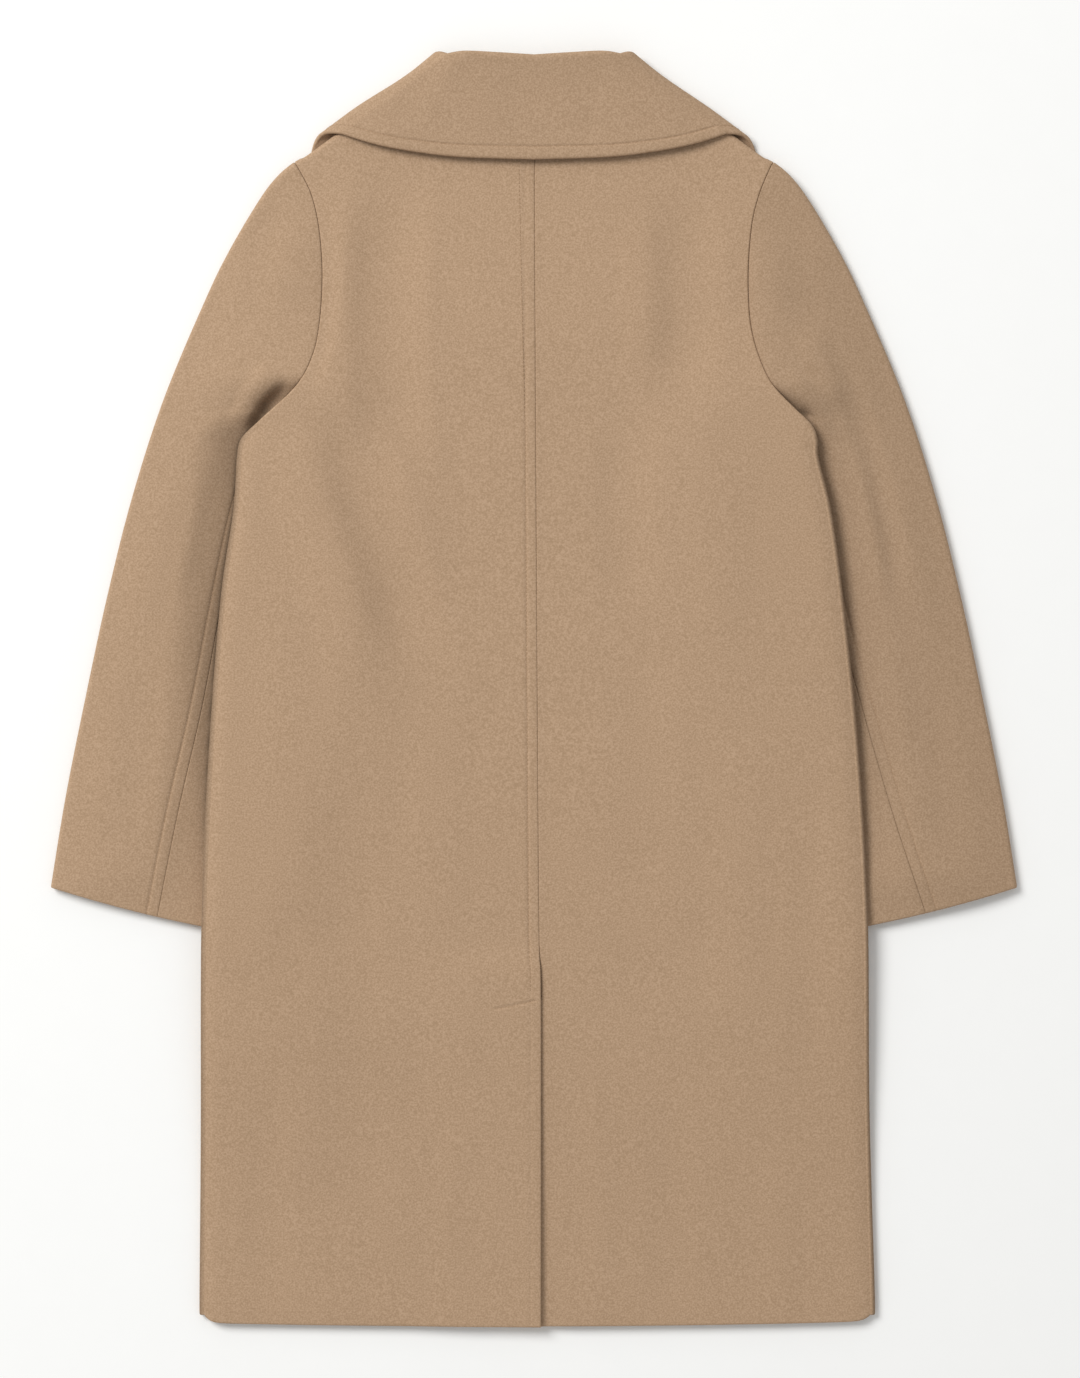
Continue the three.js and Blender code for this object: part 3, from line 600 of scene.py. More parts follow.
def rounded_edge(distance, radius):
    """How far an edge has turned over: 1 at the edge, falling to 0 a radius in, as a quarter
    ellipse does."""
    m = np.clip(1 - distance / radius, 0, 1)
    return 1 - np.sqrt(1 - m**2)


def wall(name, p, thickness, relief, edges, upward, attributes=None):
    """A closed wall of cloth. The outer face is the grid p raised by the relief along its normals,
    and the inner face lies one thickness inside it. Each edge has a radius and a depth: both faces
    turn over towards it by a quarter ellipse of that radius, and meet at that part of the cloth's
    thickness below the outer face."""
    n = normals(p, upward)
    outer_turn, inner_turn = np.zeros(p.shape[:2]), np.zeros(p.shape[:2])
    for distance, (radius, depth) in zip(edge_distances(p), edges):
        turned = rounded_edge(distance, radius)
        outer_turn = np.maximum(outer_turn, turned * depth)
        inner_turn = np.maximum(inner_turn, turned * (1 - depth))
    outer = p + n * (relief - thickness * outer_turn)[..., None]
    inner = p + n * (relief - thickness * (1 - inner_turn))[..., None]
    rows, columns = p.shape[:2]
    ids = np.arange(rows * columns).reshape(rows, columns)
    inner_ids = ids.copy()
    within = np.arange((rows - 2) * (columns - 2)).reshape(rows - 2, -1)
    inner_ids[1:-1, 1:-1] = rows * columns + within
    vertices = np.vstack([outer.reshape(-1, 3), inner[1:-1, 1:-1].reshape(-1, 3)])
    quads = [
        np.stack([g[:-1, :-1], g[1:, :-1], g[1:, 1:], g[:-1, 1:]], -1).reshape(-1, 4)
        for g in (ids, inner_ids)
    ]
    quads[1] = quads[1][:, ::-1]
    faces = np.vstack(quads)
    i, j = rows // 2, columns // 3
    a, b, c = outer[i, j], outer[i + 1, j], outer[i + 1, j + 1]
    if np.dot(np.cross(b - a, c - a), n[i, j]) < 0:
        faces = faces[:, ::-1]
    values = {}
    for key, grid in (attributes or {}).items():
        grid = np.broadcast_to(grid, (rows, columns))
        values[key] = np.concatenate([grid.ravel(), grid[1:-1, 1:-1].ravel()])
    return mesh_piece(name, vertices, faces, values), outer, n


def mesh_piece(name, vertices, faces, attributes=None):
    """An object from vertices in millimetres on the cutting table and faces of four corners."""
    mesh = bpy.data.meshes.new(name)
    mesh.vertices.add(len(vertices))
    mesh.vertices.foreach_set("co", ((vertices + (0, CENTRE_Y, 0)) * 0.001).ravel())
    mesh.loops.add(faces.size)
    mesh.loops.foreach_set("vertex_index", faces.ravel())
    mesh.polygons.add(len(faces))
    mesh.polygons.foreach_set("loop_start", np.arange(len(faces)) * faces.shape[1])
    mesh.polygons.foreach_set("use_smooth", np.ones(len(faces), bool))
    mesh.update(calc_edges=True)
    mesh.validate()
    for key, values in (attributes or {}).items():
        layer = mesh.attributes.new(key, "FLOAT", "POINT")
        layer.data.foreach_set("value", np.asarray(values, np.float32))
    obj = bpy.data.objects.new(name, mesh)
    bpy.context.scene.collection.objects.link(obj)
    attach(obj, "root")
    return obj


# ---- sewing ----


def stitches(name, rows, settings):
    """Runs of topstitching in one object. Each run is a path and its normals. A stitch is a short
    rounded thread: a ring of six carried along it, whose radius falls as a quarter circle at both
    ends, and it lies along the path, sunk by part of its thickness."""
    pitch, radius = settings.stitch_length, settings.thread_width / 2
    length = pitch * 0.8
    s = np.array([-1, -0.86, -0.45, 0.45, 0.86, 1]) * length / 2
    r = radius * np.array([0.15, 0.75, 1, 1, 0.75, 0.15])
    angle = np.arange(6) * np.pi / 3
    # Its ends dip into the cloth by a little over half of the thread's radius.
    dips = 0.55 * radius * np.repeat(np.abs(s / s[-1]) ** 3, 6)
    base = np.stack(
        [
            np.repeat(s, 6),
            np.outer(r, np.cos(angle)).ravel(),
            np.outer(r, np.sin(angle)).ravel() - dips,
        ],
        -1,
    )
    i = np.arange(30).reshape(5, 6)
    around = np.roll(i, -1, axis=1)
    ring = np.stack([i, around, around + 6, i + 6], -1).reshape(-1, 4)
    caps = np.array([[0, 5, 4, 3], [0, 3, 2, 1], [30, 31, 32, 33], [30, 33, 34, 35]])
    quads = np.vstack([ring, caps])
    vertices, faces = [], []
    for path, normal in rows:
        d = np.append(0, np.cumsum(np.linalg.norm(np.diff(path, axis=0), axis=1)))
        centres = np.arange(pitch / 2, d[-1], pitch)
        place, nearby = (
            np.stack([np.interp(centres + e, d, path[:, k]) for k in range(3)], -1)
            for e in (0, 0.4)
        )
        up = np.stack([np.interp(centres, d, normal[:, k]) for k in range(3)], -1)
        along = nearby - place
        along /= np.maximum(np.linalg.norm(along, axis=-1), 1e-9)[:, None]
        across = np.cross(up, along)
        across /= np.linalg.norm(across, axis=-1)[:, None]
        up = np.cross(along, across)
        spots = place[:, None] + base[:, 0:1] * along[:, None] + base[:, 1:2] * across[:, None]
        spots = spots + (base[:, 2:3] + 0.1 * radius) * up[:, None]
        count = sum(len(v) for v in vertices)
        vertices.append(spots.reshape(-1, 3))
        first = len(base) * np.arange(len(place))[:, None, None] + count
        faces.append((quads[None] + first).reshape(-1, 4))
    obj = mesh_piece(name, np.vstack(vertices), np.vstack(faces))
    obj.data.materials.append(thread_material(settings))
    return obj


def groove(distance, half_width, depth):
    """A stitched line's soft groove, as the cube of a cosine bell across it."""
    t = np.clip(np.abs(distance) / half_width, 0, 1)
    return -depth * (1 - t * t) ** 3


def from_line(p, start, end):
    """Distance in plan from each point to a straight line between two places."""
    start, end = np.array(start), np.array(end)
    d = end - start
    away = p - start
    part = np.clip((away * d).sum(-1) / (d**2).sum(), 0, 1)
    return np.linalg.norm(away - part[..., None] * d, axis=-1)


# ---- materials ----


def linear(code):
    """An sRGB hex colour as the linear values that a shader takes."""
    c = np.array([int(code[i : i + 2], 16) for i in (1, 3, 5)]) / 255
    return (*np.where(c <= 0.04045, c / 12.92, ((c + 0.055) / 1.055) ** 2.4), 1.0)


def node(tree, kind, inputs=(), **settings):
    """Adds a node with its settings. An input is a value, or an output to link to it."""
    n = tree.nodes.new(kind)
    for key, value in settings.items():
        setattr(n, key, value)
    for key, value in dict(inputs).items():
        if isinstance(value, bpy.types.NodeSocket):
            tree.links.new(value, n.inputs[key])
        else:
            n.inputs[key].default_value = value
    return n


def new_material(name):
    material = bpy.data.materials.get(name)
    if material:
        return material, None
    material = bpy.data.materials.new(name)
    material.use_nodes = True
    material.node_tree.nodes.clear()
    return material, material.node_tree


# Each of these adds one node, and gives the output that the next ones link to.


def noise(tree, place, scale, detail, rough=0.5):
    inputs = {"Vector": place, "Scale": scale, "Detail": detail, "Roughness": rough}
    return node(tree, "ShaderNodeTexNoise", inputs).outputs["Fac"]


def attribute(tree, name):
    return node(tree, "ShaderNodeAttribute", attribute_name=name).outputs["Fac"]


def arithmetic(tree, operation, *values):
    return node(tree, "ShaderNodeMath", dict(enumerate(values)), operation=operation).outputs[0]


def map_range(tree, value, low, high, to_low, to_high):
    inputs = {"Value": value, "From Min": low, "From Max": high}
    inputs = {**inputs, "To Min": to_low, "To Max": to_high}
    return node(tree, "ShaderNodeMapRange", inputs).outputs[0]


def colour_ramp(tree, fac, stops):
    """A ramp through colours at their places, given in order."""
    n = node(tree, "ShaderNodeValToRGB", {"Fac": fac})
    elements = n.color_ramp.elements
    for element, (place, colour) in ((elements[0], stops[0]), (elements[1], stops[-1])):
        element.position, element.color = place, (*colour, 1)
    for place, colour in stops[1:-1]:
        elements.new(place).color = (*colour, 1)
    return n.outputs["Color"]


def bumped(tree, height, distance, strength, **more):
    inputs = {"Height": height, "Distance": distance, "Strength": strength, **more}
    return node(tree, "ShaderNodeBump", inputs).outputs["Normal"]


def finish(tree, inputs):
    """Ends a material in one shader with these inputs."""
    shader = node(tree, "ShaderNodeBsdfPrincipled", inputs)
    node(tree, "ShaderNodeOutputMaterial", {"Surface": shader.outputs["BSDF"]})


def wool_melton(settings):
    """Wool melton, milled and brushed: the weave is closed by its nap, so the eye sees a heathered
    surface of fine fibres, soft edges and a faint bloom at grazing angles."""
    material, tree = new_material("wool melton")
    if not tree:
        return material
    place = node(tree, "ShaderNodeTexCoord").outputs["Object"]
    # Fibre clumps of about 1.5 mm, drawn a little coarser than the real fibres so that they show.
    heather = noise(tree, place, 700, 1.5, 0.6)
    # Patches of about 3 mm where the dyed wool was blended unevenly.
    blend = noise(tree, place, 300, 1)
    both = node(tree, "ShaderNodeMix", {"Factor": 0.16, "A": heather, "B": blend}).outputs["Result"]
    fibres = colour_ramp(
        tree,
        both,
        [(0.36, settings.dark_fibre), (0.5, settings.camel), (0.62, settings.light_fibre)],
    )
    # The brushed nap lies in slow drifts of some 60 mm.
    drifted = map_range(tree, noise(tree, place, 16, 2), 0.3, 0.7, 0.992, 1.008)
    # Pressing closes the nap beside a seam and darkens it, and rubbing pales an edge.
    # On the collar this mark is painted shade, dark all over, not pressing.
    shade = arithmetic(tree, "MULTIPLY", attribute(tree, "pressed"), -0.05)
    shade = arithmetic(tree, "MULTIPLY_ADD", attribute(tree, "worn"), 0.07, shade)
    # Crushed nap lies flat and looks deeper.
    # Painted shade under the body's edges, at the underarms, and faintly over each whole sleeve.
    shade = arithmetic(tree, "MULTIPLY_ADD", attribute(tree, "painted_shade"), -0.3, shade)
    shade = arithmetic(tree, "ADD", shade, drifted)
    # Mix's colour sockets share their names with its number sockets, so they go by their places.
    shaded = node(
        tree,
        "ShaderNodeMix",
        {0: 1.0, 6: fibres, 7: shade},
        data_type="RGBA",
        blend_type="MULTIPLY",
    )
    nap = bumped(tree, both, 0.00035, 0.55)
    fuzz = bumped(tree, noise(tree, place, 1500, 3, 0.75), 0.00015, 0.4, Normal=nap)
    finish(
        tree,
        {
            "Base Color": shaded.outputs[2],
            "Roughness": map_range(tree, both, 0.35, 0.65, 0.98, 0.86),
            "Normal": fuzz,
            "Sheen Weight": 0.08,
            "Sheen Roughness": 0.5,
            "Sheen Tint": linear("#e2cdb2"),
            "IOR": 1.45,
            "Specular IOR Level": 0.18,
        },
    )
    return material


def thread_material(settings):
    """Spun polyester sewing thread: two plies twisted together, dyed to the cloth, with a soft
    shine that the wool doesn't have."""
    material, tree = new_material("spun sewing thread")
    if not tree:
        return material
    place = node(tree, "ShaderNodeTexCoord").outputs["Object"]
    # The plies cross the thread every 0.5 mm.
    plies = node(
        tree,
        "ShaderNodeTexWave",
        {"Vector": place, "Scale": 320, "Distortion": 1.5, "Detail": 1},
        wave_type="BANDS",
        bands_direction="DIAGONAL",
    ).outputs["Fac"]
    between = [v * 0.8 for v in settings.thread]
    finish(
        tree,
        {
            "Base Color": colour_ramp(tree, plies, [(0, between), (1, settings.thread)]),
            "Normal": bumped(tree, plies, 0.0001, 0.5),
            "Roughness": 0.62,
            "Sheen Weight": 0.1,
        },
    )
    return material


def table_material(settings):
    """A matt laminate table top, pale and nearly white, with the faint mottle of its coating."""
    material, tree = new_material("matt laminate")
    if not tree:
        return material
    place = node(tree, "ShaderNodeTexCoord").outputs["Object"]
    darker = [v * 0.985 for v in settings.table]
    mottle = colour_ramp(tree, noise(tree, place, 40, 2), [(0, darker), (1, settings.table)])
    finish(tree, {"Base Color": mottle, "Roughness": 0.9, "Specular IOR Level": 0.2})
    return material


def dress(obj, node_name, settings):
    """Gives a piece its cloth, and hides the solid that it stands for."""
    obj.data.materials.append(wool_melton(settings))
    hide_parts(node_name)


# ---- pieces ----


def back_relief(x, y, settings):
    """Height added to the back by its creases, the topstitch grooves and the vent's lifted edge."""
    relief = settings.fold_height * folds(x, y, BACK_FOLDS)
    seam = back_seam_x(y)
    fade = smoothstep(y, TOPSTITCH_FADES - 40, TOPSTITCH_FADES + 30)
    stitched = groove(x - seam + settings.topstitch, *GROOVES["back"])
    relief += stitched * np.maximum(fade, 0.35)
    away = from_line(np.stack([x, y], -1), *VENT_STITCH)
    relief += groove(away, *GROOVES["vent"]) * (x < seam)
    below = smoothstep(-y, -VENT_TOP_Y + 5, -HEM_Y)
    lifts, inwards = VENT_EDGE_LIFTS
    relief += lifts * below * smoothstep(x - seam, -inwards, 0) * (x < seam)
    sinks, outwards = UNDERLAP_SINKS
    relief -= sinks * below * (1 - smoothstep(x - seam, 0, outwards)) * (x >= seam)
    return relief


def finer_at_vent(rows, side):
    """A back's rows, set closer together where the slanted stitching crosses them."""
    top, low = (down_to(side, y) for y in VENT_ROWS)
    close = np.arange(top, low, VENT_ROW_PITCH)
    margin = VENT_ROW_PITCH / 2
    return np.concatenate([rows[rows < top - margin], close, rows[rows > close[-1] + margin]])


def edge_marks(p, pressed, worn, hem=None):
    """How strongly each point is pressed or worn: 1 at an edge, falling off over a distance."""
    distances = edge_distances(p)
    marks = []
    for widths in (pressed, worn):
        total = np.zeros(p.shape[:2])
        for d, width in zip(distances, widths):
            if width:
                total = np.maximum(total, np.exp(-d / width * 2))
        marks.append(total)
    if hem is not None:
        marks[1] = np.maximum(marks[1], np.exp(-distances[hem] / 2.5))
    return dict(zip(("pressed", "worn"), marks))


def panel_grid(side, layer, near, pitch):
    """The grid of one body panel, with rows down it from round the shoulder's fold and columns out
    from the centre to round the side's fold. Gives its points as they lie, each row's distance
    down, the columns' places, and how far each point is in from the side."""
    rows = spaced(panel_length(side), TURNED_EDGE, TURNED_EDGE, pitch)
    if layer == "back":
        rows = finer_at_vent(rows, side)
    fold = np.linspace(1, 0, TOP_FOLD_ROWS + 1)[:-1]
    distance = np.concatenate([np.zeros(len(fold)), rows])
    top_fold = np.concatenate([fold, np.zeros(len(rows))])
    outer, inner, *_ = panel_rows(side, layer, distance)
    width = np.linalg.norm(outer - inner, axis=-1)
    columns = spread_columns(width, near, NEAR_SIDE, int(PANEL_BETWEEN / pitch))
    folded = np.tile(1 + np.linspace(0, 1, SIDE_FOLD_COLUMNS + 1)[1:], (len(distance), 1))
    u = np.hstack([columns, folded])
    p = mirrored(panel_surface(side, layer, distance, u, top_fold), side)
    return p, distance, u, (1 - np.minimum(u, 1)) * width[:, None]


def build_back(side, settings):
    """One back panel. Gives the path of its topstitch and the normals along it."""
    near = by_stitching(5.6, settings.topstitch, 12.5)
    p, distance, u, inside = panel_grid(side, "back", near, settings.pitch)
    below = smoothstep(distance - ARMHOLES[side][0][-1], 0, 40)[:, None]
    relief = back_relief(p[..., 0], p[..., 1], settings) * smoothstep(inside, 0, 18)
    # The side's fold is soft, and the back rolls over towards it.
    height, reach = SIDE_ROLL
    relief -= height * hump(inside, reach) * below * (2 - np.maximum(u, 1))
    marks = edge_marks(p, (0, 14, 9, 0), (0, 0, 0, 0), hem=1)
    # Painted shade along the side's fold below the underarm, where the back lies over the sleeve.
    marks["painted_shade"] = 1.3 * smoothstep(u, 1.05, 1.7) * below
    edges = (BURIED, TURNED, SEWN, BURIED)
    obj, outer, n = wall(f"back_panel_{side}", p, CLOTH, relief, edges, True, marks)
    dress(obj, f"back_{side}", settings)
    stitched = slice(TOP_FOLD_ROWS + UNSTITCHED_ROWS, None), near.index(settings.topstitch)
    return outer[stitched], n[stitched]


def build_front(side, settings):
    """One front panel, face down under the coat, on a coarser grid."""
    p, *_ = panel_grid(side, "front", TURNED_EDGE, settings.pitch * 1.8)
    marks = edge_marks(p, (0, 0, 0, 0), (0, 3, 3, 0))
    edges = (BURIED, TURNED, TURNED, BURIED)
    obj, *_ = wall(f"front_panel_{side}", p, CLOTH, np.zeros(p.shape[:2]), edges, False, marks)
    dress(obj, f"front_{side}", settings)


def sleeve_relief(x, y, side, across):
    """Height added to the sleeve's upper layer. It crowns by a parabola across its width, given as
    a part from one edge to the other, and sinks into a hollow towards the side of the body."""
    beyond = -inside_flank(np.abs(x), y, side)
    comes_in, goes = HOLLOW_ACROSS
    hollow = (1 - smoothstep(beyond, *goes)) * smoothstep(beyond, *comes_in)
    beside = smoothstep(y, *HOLLOW_STARTS) * (1 - smoothstep(y, *HOLLOW_ENDS[side]))
    hollow = hollow * beside
    height, lean, sunk = CROWNS[side]
    crown = height * (1 - (2 * np.clip(across, 0, 1) ** lean - 1) ** 2)
    crown = crown * going_down(y, *CROWN_STARTS) * smoothstep(y, *CROWN_ENDS)
    return crown * (1 - 0.9 * hollow) - sunk * hollow


def sleeve_painted_shade(x, y, side):
    """How much shade is painted on a sleeve: 1 where it tucks in under the body, falling to little
    clear of it, and a painted pocket of shade at the underarm. Each whole sleeve gets a little
    painted shade too, the wearer's right one more."""
    beyond = -inside_flank(np.abs(x), y, side)
    wide, fall, most, turned = SLEEVE_PAINTED_SHADE[side]
    reach = mix(*SHADE_REACH, smoothstep(y, *SHADE_WIDENS)) + wide
    near = most * np.clip(1 - np.maximum(beyond, 0) / reach, 0, 1) ** fall
    near = near + most * np.exp(-((beyond / 2.2) ** 2))
    near = near * smoothstep(y, *SHADE_STARTS) * (1 - smoothstep(y, *SHADE_ENDS))
    (place_x, place_y), (wide_x, wide_y), strength = UNDERARM_PAINTED_SHADE
    across, along = (np.abs(x) - place_x) / wide_x, (y - place_y) / wide_y
    pocket = strength * np.exp(-(across**2) - along**2)
    # The last term is painted shade over the whole sleeve.
    return np.maximum(near, pocket) + turned


def sleeve_seam(side):
    """The sleeve's back seam in plan, from the underarm to the cuff."""
    cuff = mix(np.array(SLEEVE_OUTER[-1]), np.array(SLEEVE_INNER[-1]), CUFF_SEAM[side])
    return curve([*side_of(SLEEVE_SEAM, side), cuff])


def top_sleeve_rows(side, s):
    """Rows of the top sleeve: down the armhole for s from 0 to 1, and down the back seam from 1 to
    2. Each has its point on the outer edge, the normal there, and its point on the seam."""
    armhole, seam = ARMHOLES[side], sleeve_seam(side)
    part = mix(SLEEVE_STARTS, 1, np.clip(s, 0, 1))
    down = np.clip(s - 1, 0, 1)
    shoulder = left_of(OUTER_EDGE, SHOULDER_END)
    held = at(armhole, part) + left_of(armhole, part) * SEAM_SHOWS / 2
    held = held - shoulder * (FOLD_RADIUS * pull_in(part * armhole[0][-1]))[:, None]
    below = at(seam, down) + left_of(seam, down) * SEAM_SHOWS / 2
    inner = np.where((s > 1)[:, None], below, held)
    along = np.where(s > 1, mix(UNDERARM_ON_EDGE, 1, down), UNDERARM_ON_EDGE * np.clip(s, 0, 1))
    edge_part = mix(SHOULDER_END, 1, along)
    return at(OUTER_EDGE, edge_part), left_of(OUTER_EDGE, edge_part), inner


def under_sleeve_rows(side, s):
    """Rows of the under sleeve, from its inner edge to the back seam."""
    seam, edge = sleeve_seam(side), curve(SLEEVE_INNER)
    return at(edge, s), -left_of(edge, s), at(seam, s) - left_of(seam, s) * SEAM_SHOWS / 2


def bow_cuff(p):
    """Bows the cuff out between its corners, as a parabola, fading up the sleeve."""
    outer, inner = SLEEVE_OUTER[-1][0], SLEEVE_INNER[-1][0]
    t = np.clip((outer - p[..., 0]) / (outer - inner), 0, 1)
    p[..., 1] -= CUFF_BOW * 4 * t * (1 - t) * going_down(p[..., 1], -40, -180)


def sleeve_surface(rows, u):
    """The outer face of part of a sleeve's tube. A row runs across the top from the seam to the
    edge for u from 0 to 1, turns half a circle round it from 1 to 3, and runs back from 3 to 4."""
    outer, normal, inner = (v[:, None] for v in rows)
    a = np.where(u < 1, 1 - u, np.maximum(u - 3, 0))[..., None]
    angle = np.clip(u - 1, 0, 2) * np.pi / 2
    plan = mix(outer - normal * FOLD_RADIUS, inner, a)
    plan = plan + normal * (FOLD_RADIUS * np.sin(angle))[..., None]
    bow_cuff(plan)
    z = wing_lift(plan) + FOLD_RADIUS * (1 + np.cos(angle))
    return np.concatenate([plan, z[..., None]], -1)


def sleeve_columns(rows, near, pitch, typical):
    """Columns of a sleeve part: across the top, round the edge's fold, and coarser underneath."""
    outer, normal, inner = rows
    width = np.linalg.norm(outer - normal * FOLD_RADIUS - inner, axis=-1)
    top = spread_columns(width, near, [3], int(typical / pitch))
    count = int(typical / UNDERSIDE_PITCH)
    under = 1 - spread_columns(width, TURNED_EDGE, [4], count)[:, ::-1]
    around = np.tile(np.linspace(1, 3, 13), (len(width), 1))
    return np.hstack([top, around, 3 + under])


def build_top_sleeve(side, settings):
    """The larger half of the sleeve, hung from the armhole and lying on the table."""
    armhole = ARMHOLES[side]
    first = spaced(armhole[0][-1], TURNED_EDGE, [0.5], settings.pitch) / armhole[0][-1]
    second = 1 + spaced(SEAM_LENGTH, [3], TURNED_EDGE, settings.pitch) / SEAM_LENGTH
    s = np.concatenate([first, second])
    rows = top_sleeve_rows(side, s)
    stitch = settings.topstitch + 0.7
    near = by_stitching(5.8, stitch, 13)
    u = sleeve_columns(rows, near, settings.pitch, TOP_SLEEVE_BETWEEN)
    p = sleeve_surface(rows, u)
    # The first row follows the armhole's curve from the shoulder, and the rows below forget it.
    a = np.where(u < 1, 1 - u, np.maximum(u - 3, 0))
    top, chord = at(armhole, SLEEVE_STARTS * a), (at(armhole, 0), at(armhole, SLEEVE_STARTS))
    bulge = top - mix(chord[0], chord[1], a[..., None])
    p[..., :2] += bulge * (1 - smoothstep(s, 0, 0.12))[:, None, None]
    # The sleeve's head rises to the back where they are sewn, and the seam opens at the underarm.
    part = mix(SLEEVE_STARTS, 1, np.clip(s, 0, 1))
    head = raised(rows[2], side) * (1 - smoothstep(part, *HEAD_OPENS[side]))
    p[..., 2] += head[:, None] * (1 - np.clip(u, 0, 1)) ** 1.5
    p = mirrored(p, side)
    x, y = p[..., 0], p[..., 1]
    from_seam = edge_distances(p)[2]
    upper = 1 - smoothstep(u, 1, 2)
    relief = settings.fold_height * folds(x, y, SLEEVE_FOLDS) * upper
    start = 0.15 * smoothstep(s, 0.9, 1.2)[:, None]
    relief += sleeve_relief(x, y, side, start + (1 - start) * u) * upper
    on_seam = smoothstep(s, 1.02, 1.08)[:, None]
    relief += groove(from_seam - stitch, *GROOVES["sleeve"]) * on_seam
    marks = edge_marks(p, (3, 0, 9, 0), (0, 3, 0, 0))
    # Painted shade where the sleeve runs in under the body and at the underarm.
    marks["painted_shade"] = sleeve_painted_shade(x, y, side) * upper
    obj, outer, n = wall(f"top_sleeve_{side}", p, CLOTH, relief, SLEEVE_EDGES, True, marks)
    dress(obj, f"sleeve_top_{side}", settings)
    stitched = s > 1.03, near.index(stitch)
    return outer[stitched], n[stitched]


def build_under_sleeve(side, settings):
    """The smaller half of the sleeve, which runs in under the body."""
    pitch = settings.pitch * 1.4
    s = spaced(SEAM_LENGTH, TURNED_EDGE, TURNED_EDGE, pitch) / SEAM_LENGTH
    rows = under_sleeve_rows(side, s)
    u = sleeve_columns(rows, TURNED_EDGE, pitch, UNDER_SLEEVE_BETWEEN)
    p = mirrored(sleeve_surface(rows, u), side)
    x, y = p[..., 0], p[..., 1]
    upper = 1 - smoothstep(u, 1, 2)
    start = 0.15 * smoothstep(s, -0.1, 0.2)[:, None]
    relief = sleeve_relief(x, y, side, start * (1 - u)) * upper
    marks = edge_marks(p, (3, 0, 9, 0), (0, 3, 0, 0))
    # Painted shade where the sleeve runs in under the body.
    marks["painted_shade"] = sleeve_painted_shade(x, y, side) * upper
    obj, *_ = wall(f"under_sleeve_{side}", p, CLOTH, relief, SLEEVE_EDGES, True, marks)
    dress(obj, f"sleeve_under_{side}", settings)


def collar_profile(v):
    """Height of the middle of the collar's cloth and its place along the shoulder axis, on the
    back and on the front. v runs up the stand, over the roll and down the fall."""
    up, over, down = np.clip(v, 0, 1), np.clip(v - 1, 0, 1) * np.pi, np.clip(v - 2, 0, 1)
    half = COLLAR_CLOTH / 2
    back_top = WING_LIFT + TUBE
    seam = back_top - CLOTH / 2
    roll = seam + STAND_RISE + ROLL_RADIUS
    rest = back_top + SEAM_GAP + half
    front_seam, front_roll = WING_LIFT + half, half + ROLL_RADIUS
    settle = hump(down, ROLL_SETTLES)
    turned, ahead = ROLL_RADIUS * np.cos(over), ROLL_RADIUS * np.sin(over)
    stand, fall = v <= 1, v > 2
    back_z = np.where(fall, mix(rest, roll + ROLL_RADIUS, settle), roll - turned)
    back_z = np.where(stand, seam + STAND_RISE * up, back_z)
    front_z = np.where(fall, half, front_roll + turned)
    front_z = np.where(stand, mix(front_seam, front_roll + ROLL_RADIUS, up), front_z)
    start = NECK_POINT - SEAM_GAP
    back_along = np.where(stand, start * (1 - up), COLLAR_EDGE_BACK * down - ahead)
    front_along = mix(ROLL_SLIP, COLLAR_EDGE_FRONT, down) - ahead
    front_along = np.where(stand, mix(start, ROLL_SLIP, up), front_along)
    return ahead, back_z, back_along, front_z, front_along


def collar_plan(seam, roll, edge, v, ahead):
    """Plan of the collar between its neck seam, its roll and its outer edge."""
    facing = (roll - seam) / np.linalg.norm(roll - seam, axis=-1)[..., None]
    seam = seam + facing * SEAM_GAP
    stand = mix(seam, roll, np.clip(v, 0, 1)[..., None])
    fall = mix(roll + facing * ahead[..., None], edge, np.clip(v - 2, 0, 1)[..., None])
    return np.where((v <= 1)[..., None], stand, fall)


def collar_surface(t, v):
    """The middle of the collar's cloth. t runs out from the centre back to the shoulder (0 to 1),
    half a turn round the shoulder axis (1 to 2), and in along the front (2 to 3). It is below 0 on
    the wearer's left."""
    far = np.abs(t)
    ahead, back_z, back_along, front_z, front_along = collar_profile(v)
    back_neck, front_neck = NECKS["back"], NECKS["front"]
    back_end = 1 - FOLD_RADIUS / back_neck[0][-1]
    front_end = 1 - FOLD_RADIUS / front_neck[0][-1]
    front_parts = front_neck[0] / front_neck[0][-1]
    front_start = np.interp(COLLAR_FRONT_GAP / 2, front_neck[1][:, 0], front_parts)
    f = np.clip(far, 0, 1)
    back = collar_plan(
        at(back_neck, f * back_end),
        at(curve([*BACK_ROLL, on_axis(0)]), f),
        at(curve([*BACK_EDGE, on_axis(COLLAR_EDGE_BACK)]), f),
        v,
        ahead,
    )
    f = np.clip(3 - far, 0, 1)
    front = collar_plan(
        at(front_neck, mix(front_start, front_end, f)),
        at(curve([*FRONT_ROLL, on_axis(ROLL_SLIP)]), f),
        at(curve([*FRONT_EDGE, on_axis(COLLAR_EDGE_FRONT)]), f),
        v,
        ahead,
    )
    k = np.clip(far - 1, 0, 1)
    radius = (back_z - front_z) / 2
    along = mix(back_along, front_along, k)
    turned = AXIS_START + along[..., None] * AXIS_ALONG
    # Towards its edge the fall stands off the shoulder, further on the wearer's left.
    stand_off = np.where(t < 0, STANDS_OFF["left"], STANDS_OFF["right"])
    stand_off = stand_off * smoothstep(v, 2.15, 2.75)
    turned = turned + ((radius + stand_off) * np.sin(np.pi * k))[..., None] * AXIS_OUT
    plan = np.where((far <= 1)[..., None], back, np.where((far >= 2)[..., None], front, turned))
    turned_z = front_z + radius * (1 + np.cos(np.pi * k))
    z = np.where(far <= 1, back_z, np.where(far >= 2, front_z, turned_z))
    x = plan[..., 0] * np.sign(t + 1e-12)
    return np.concatenate([x[..., None], plan[..., 1:], z[..., None]], -1)


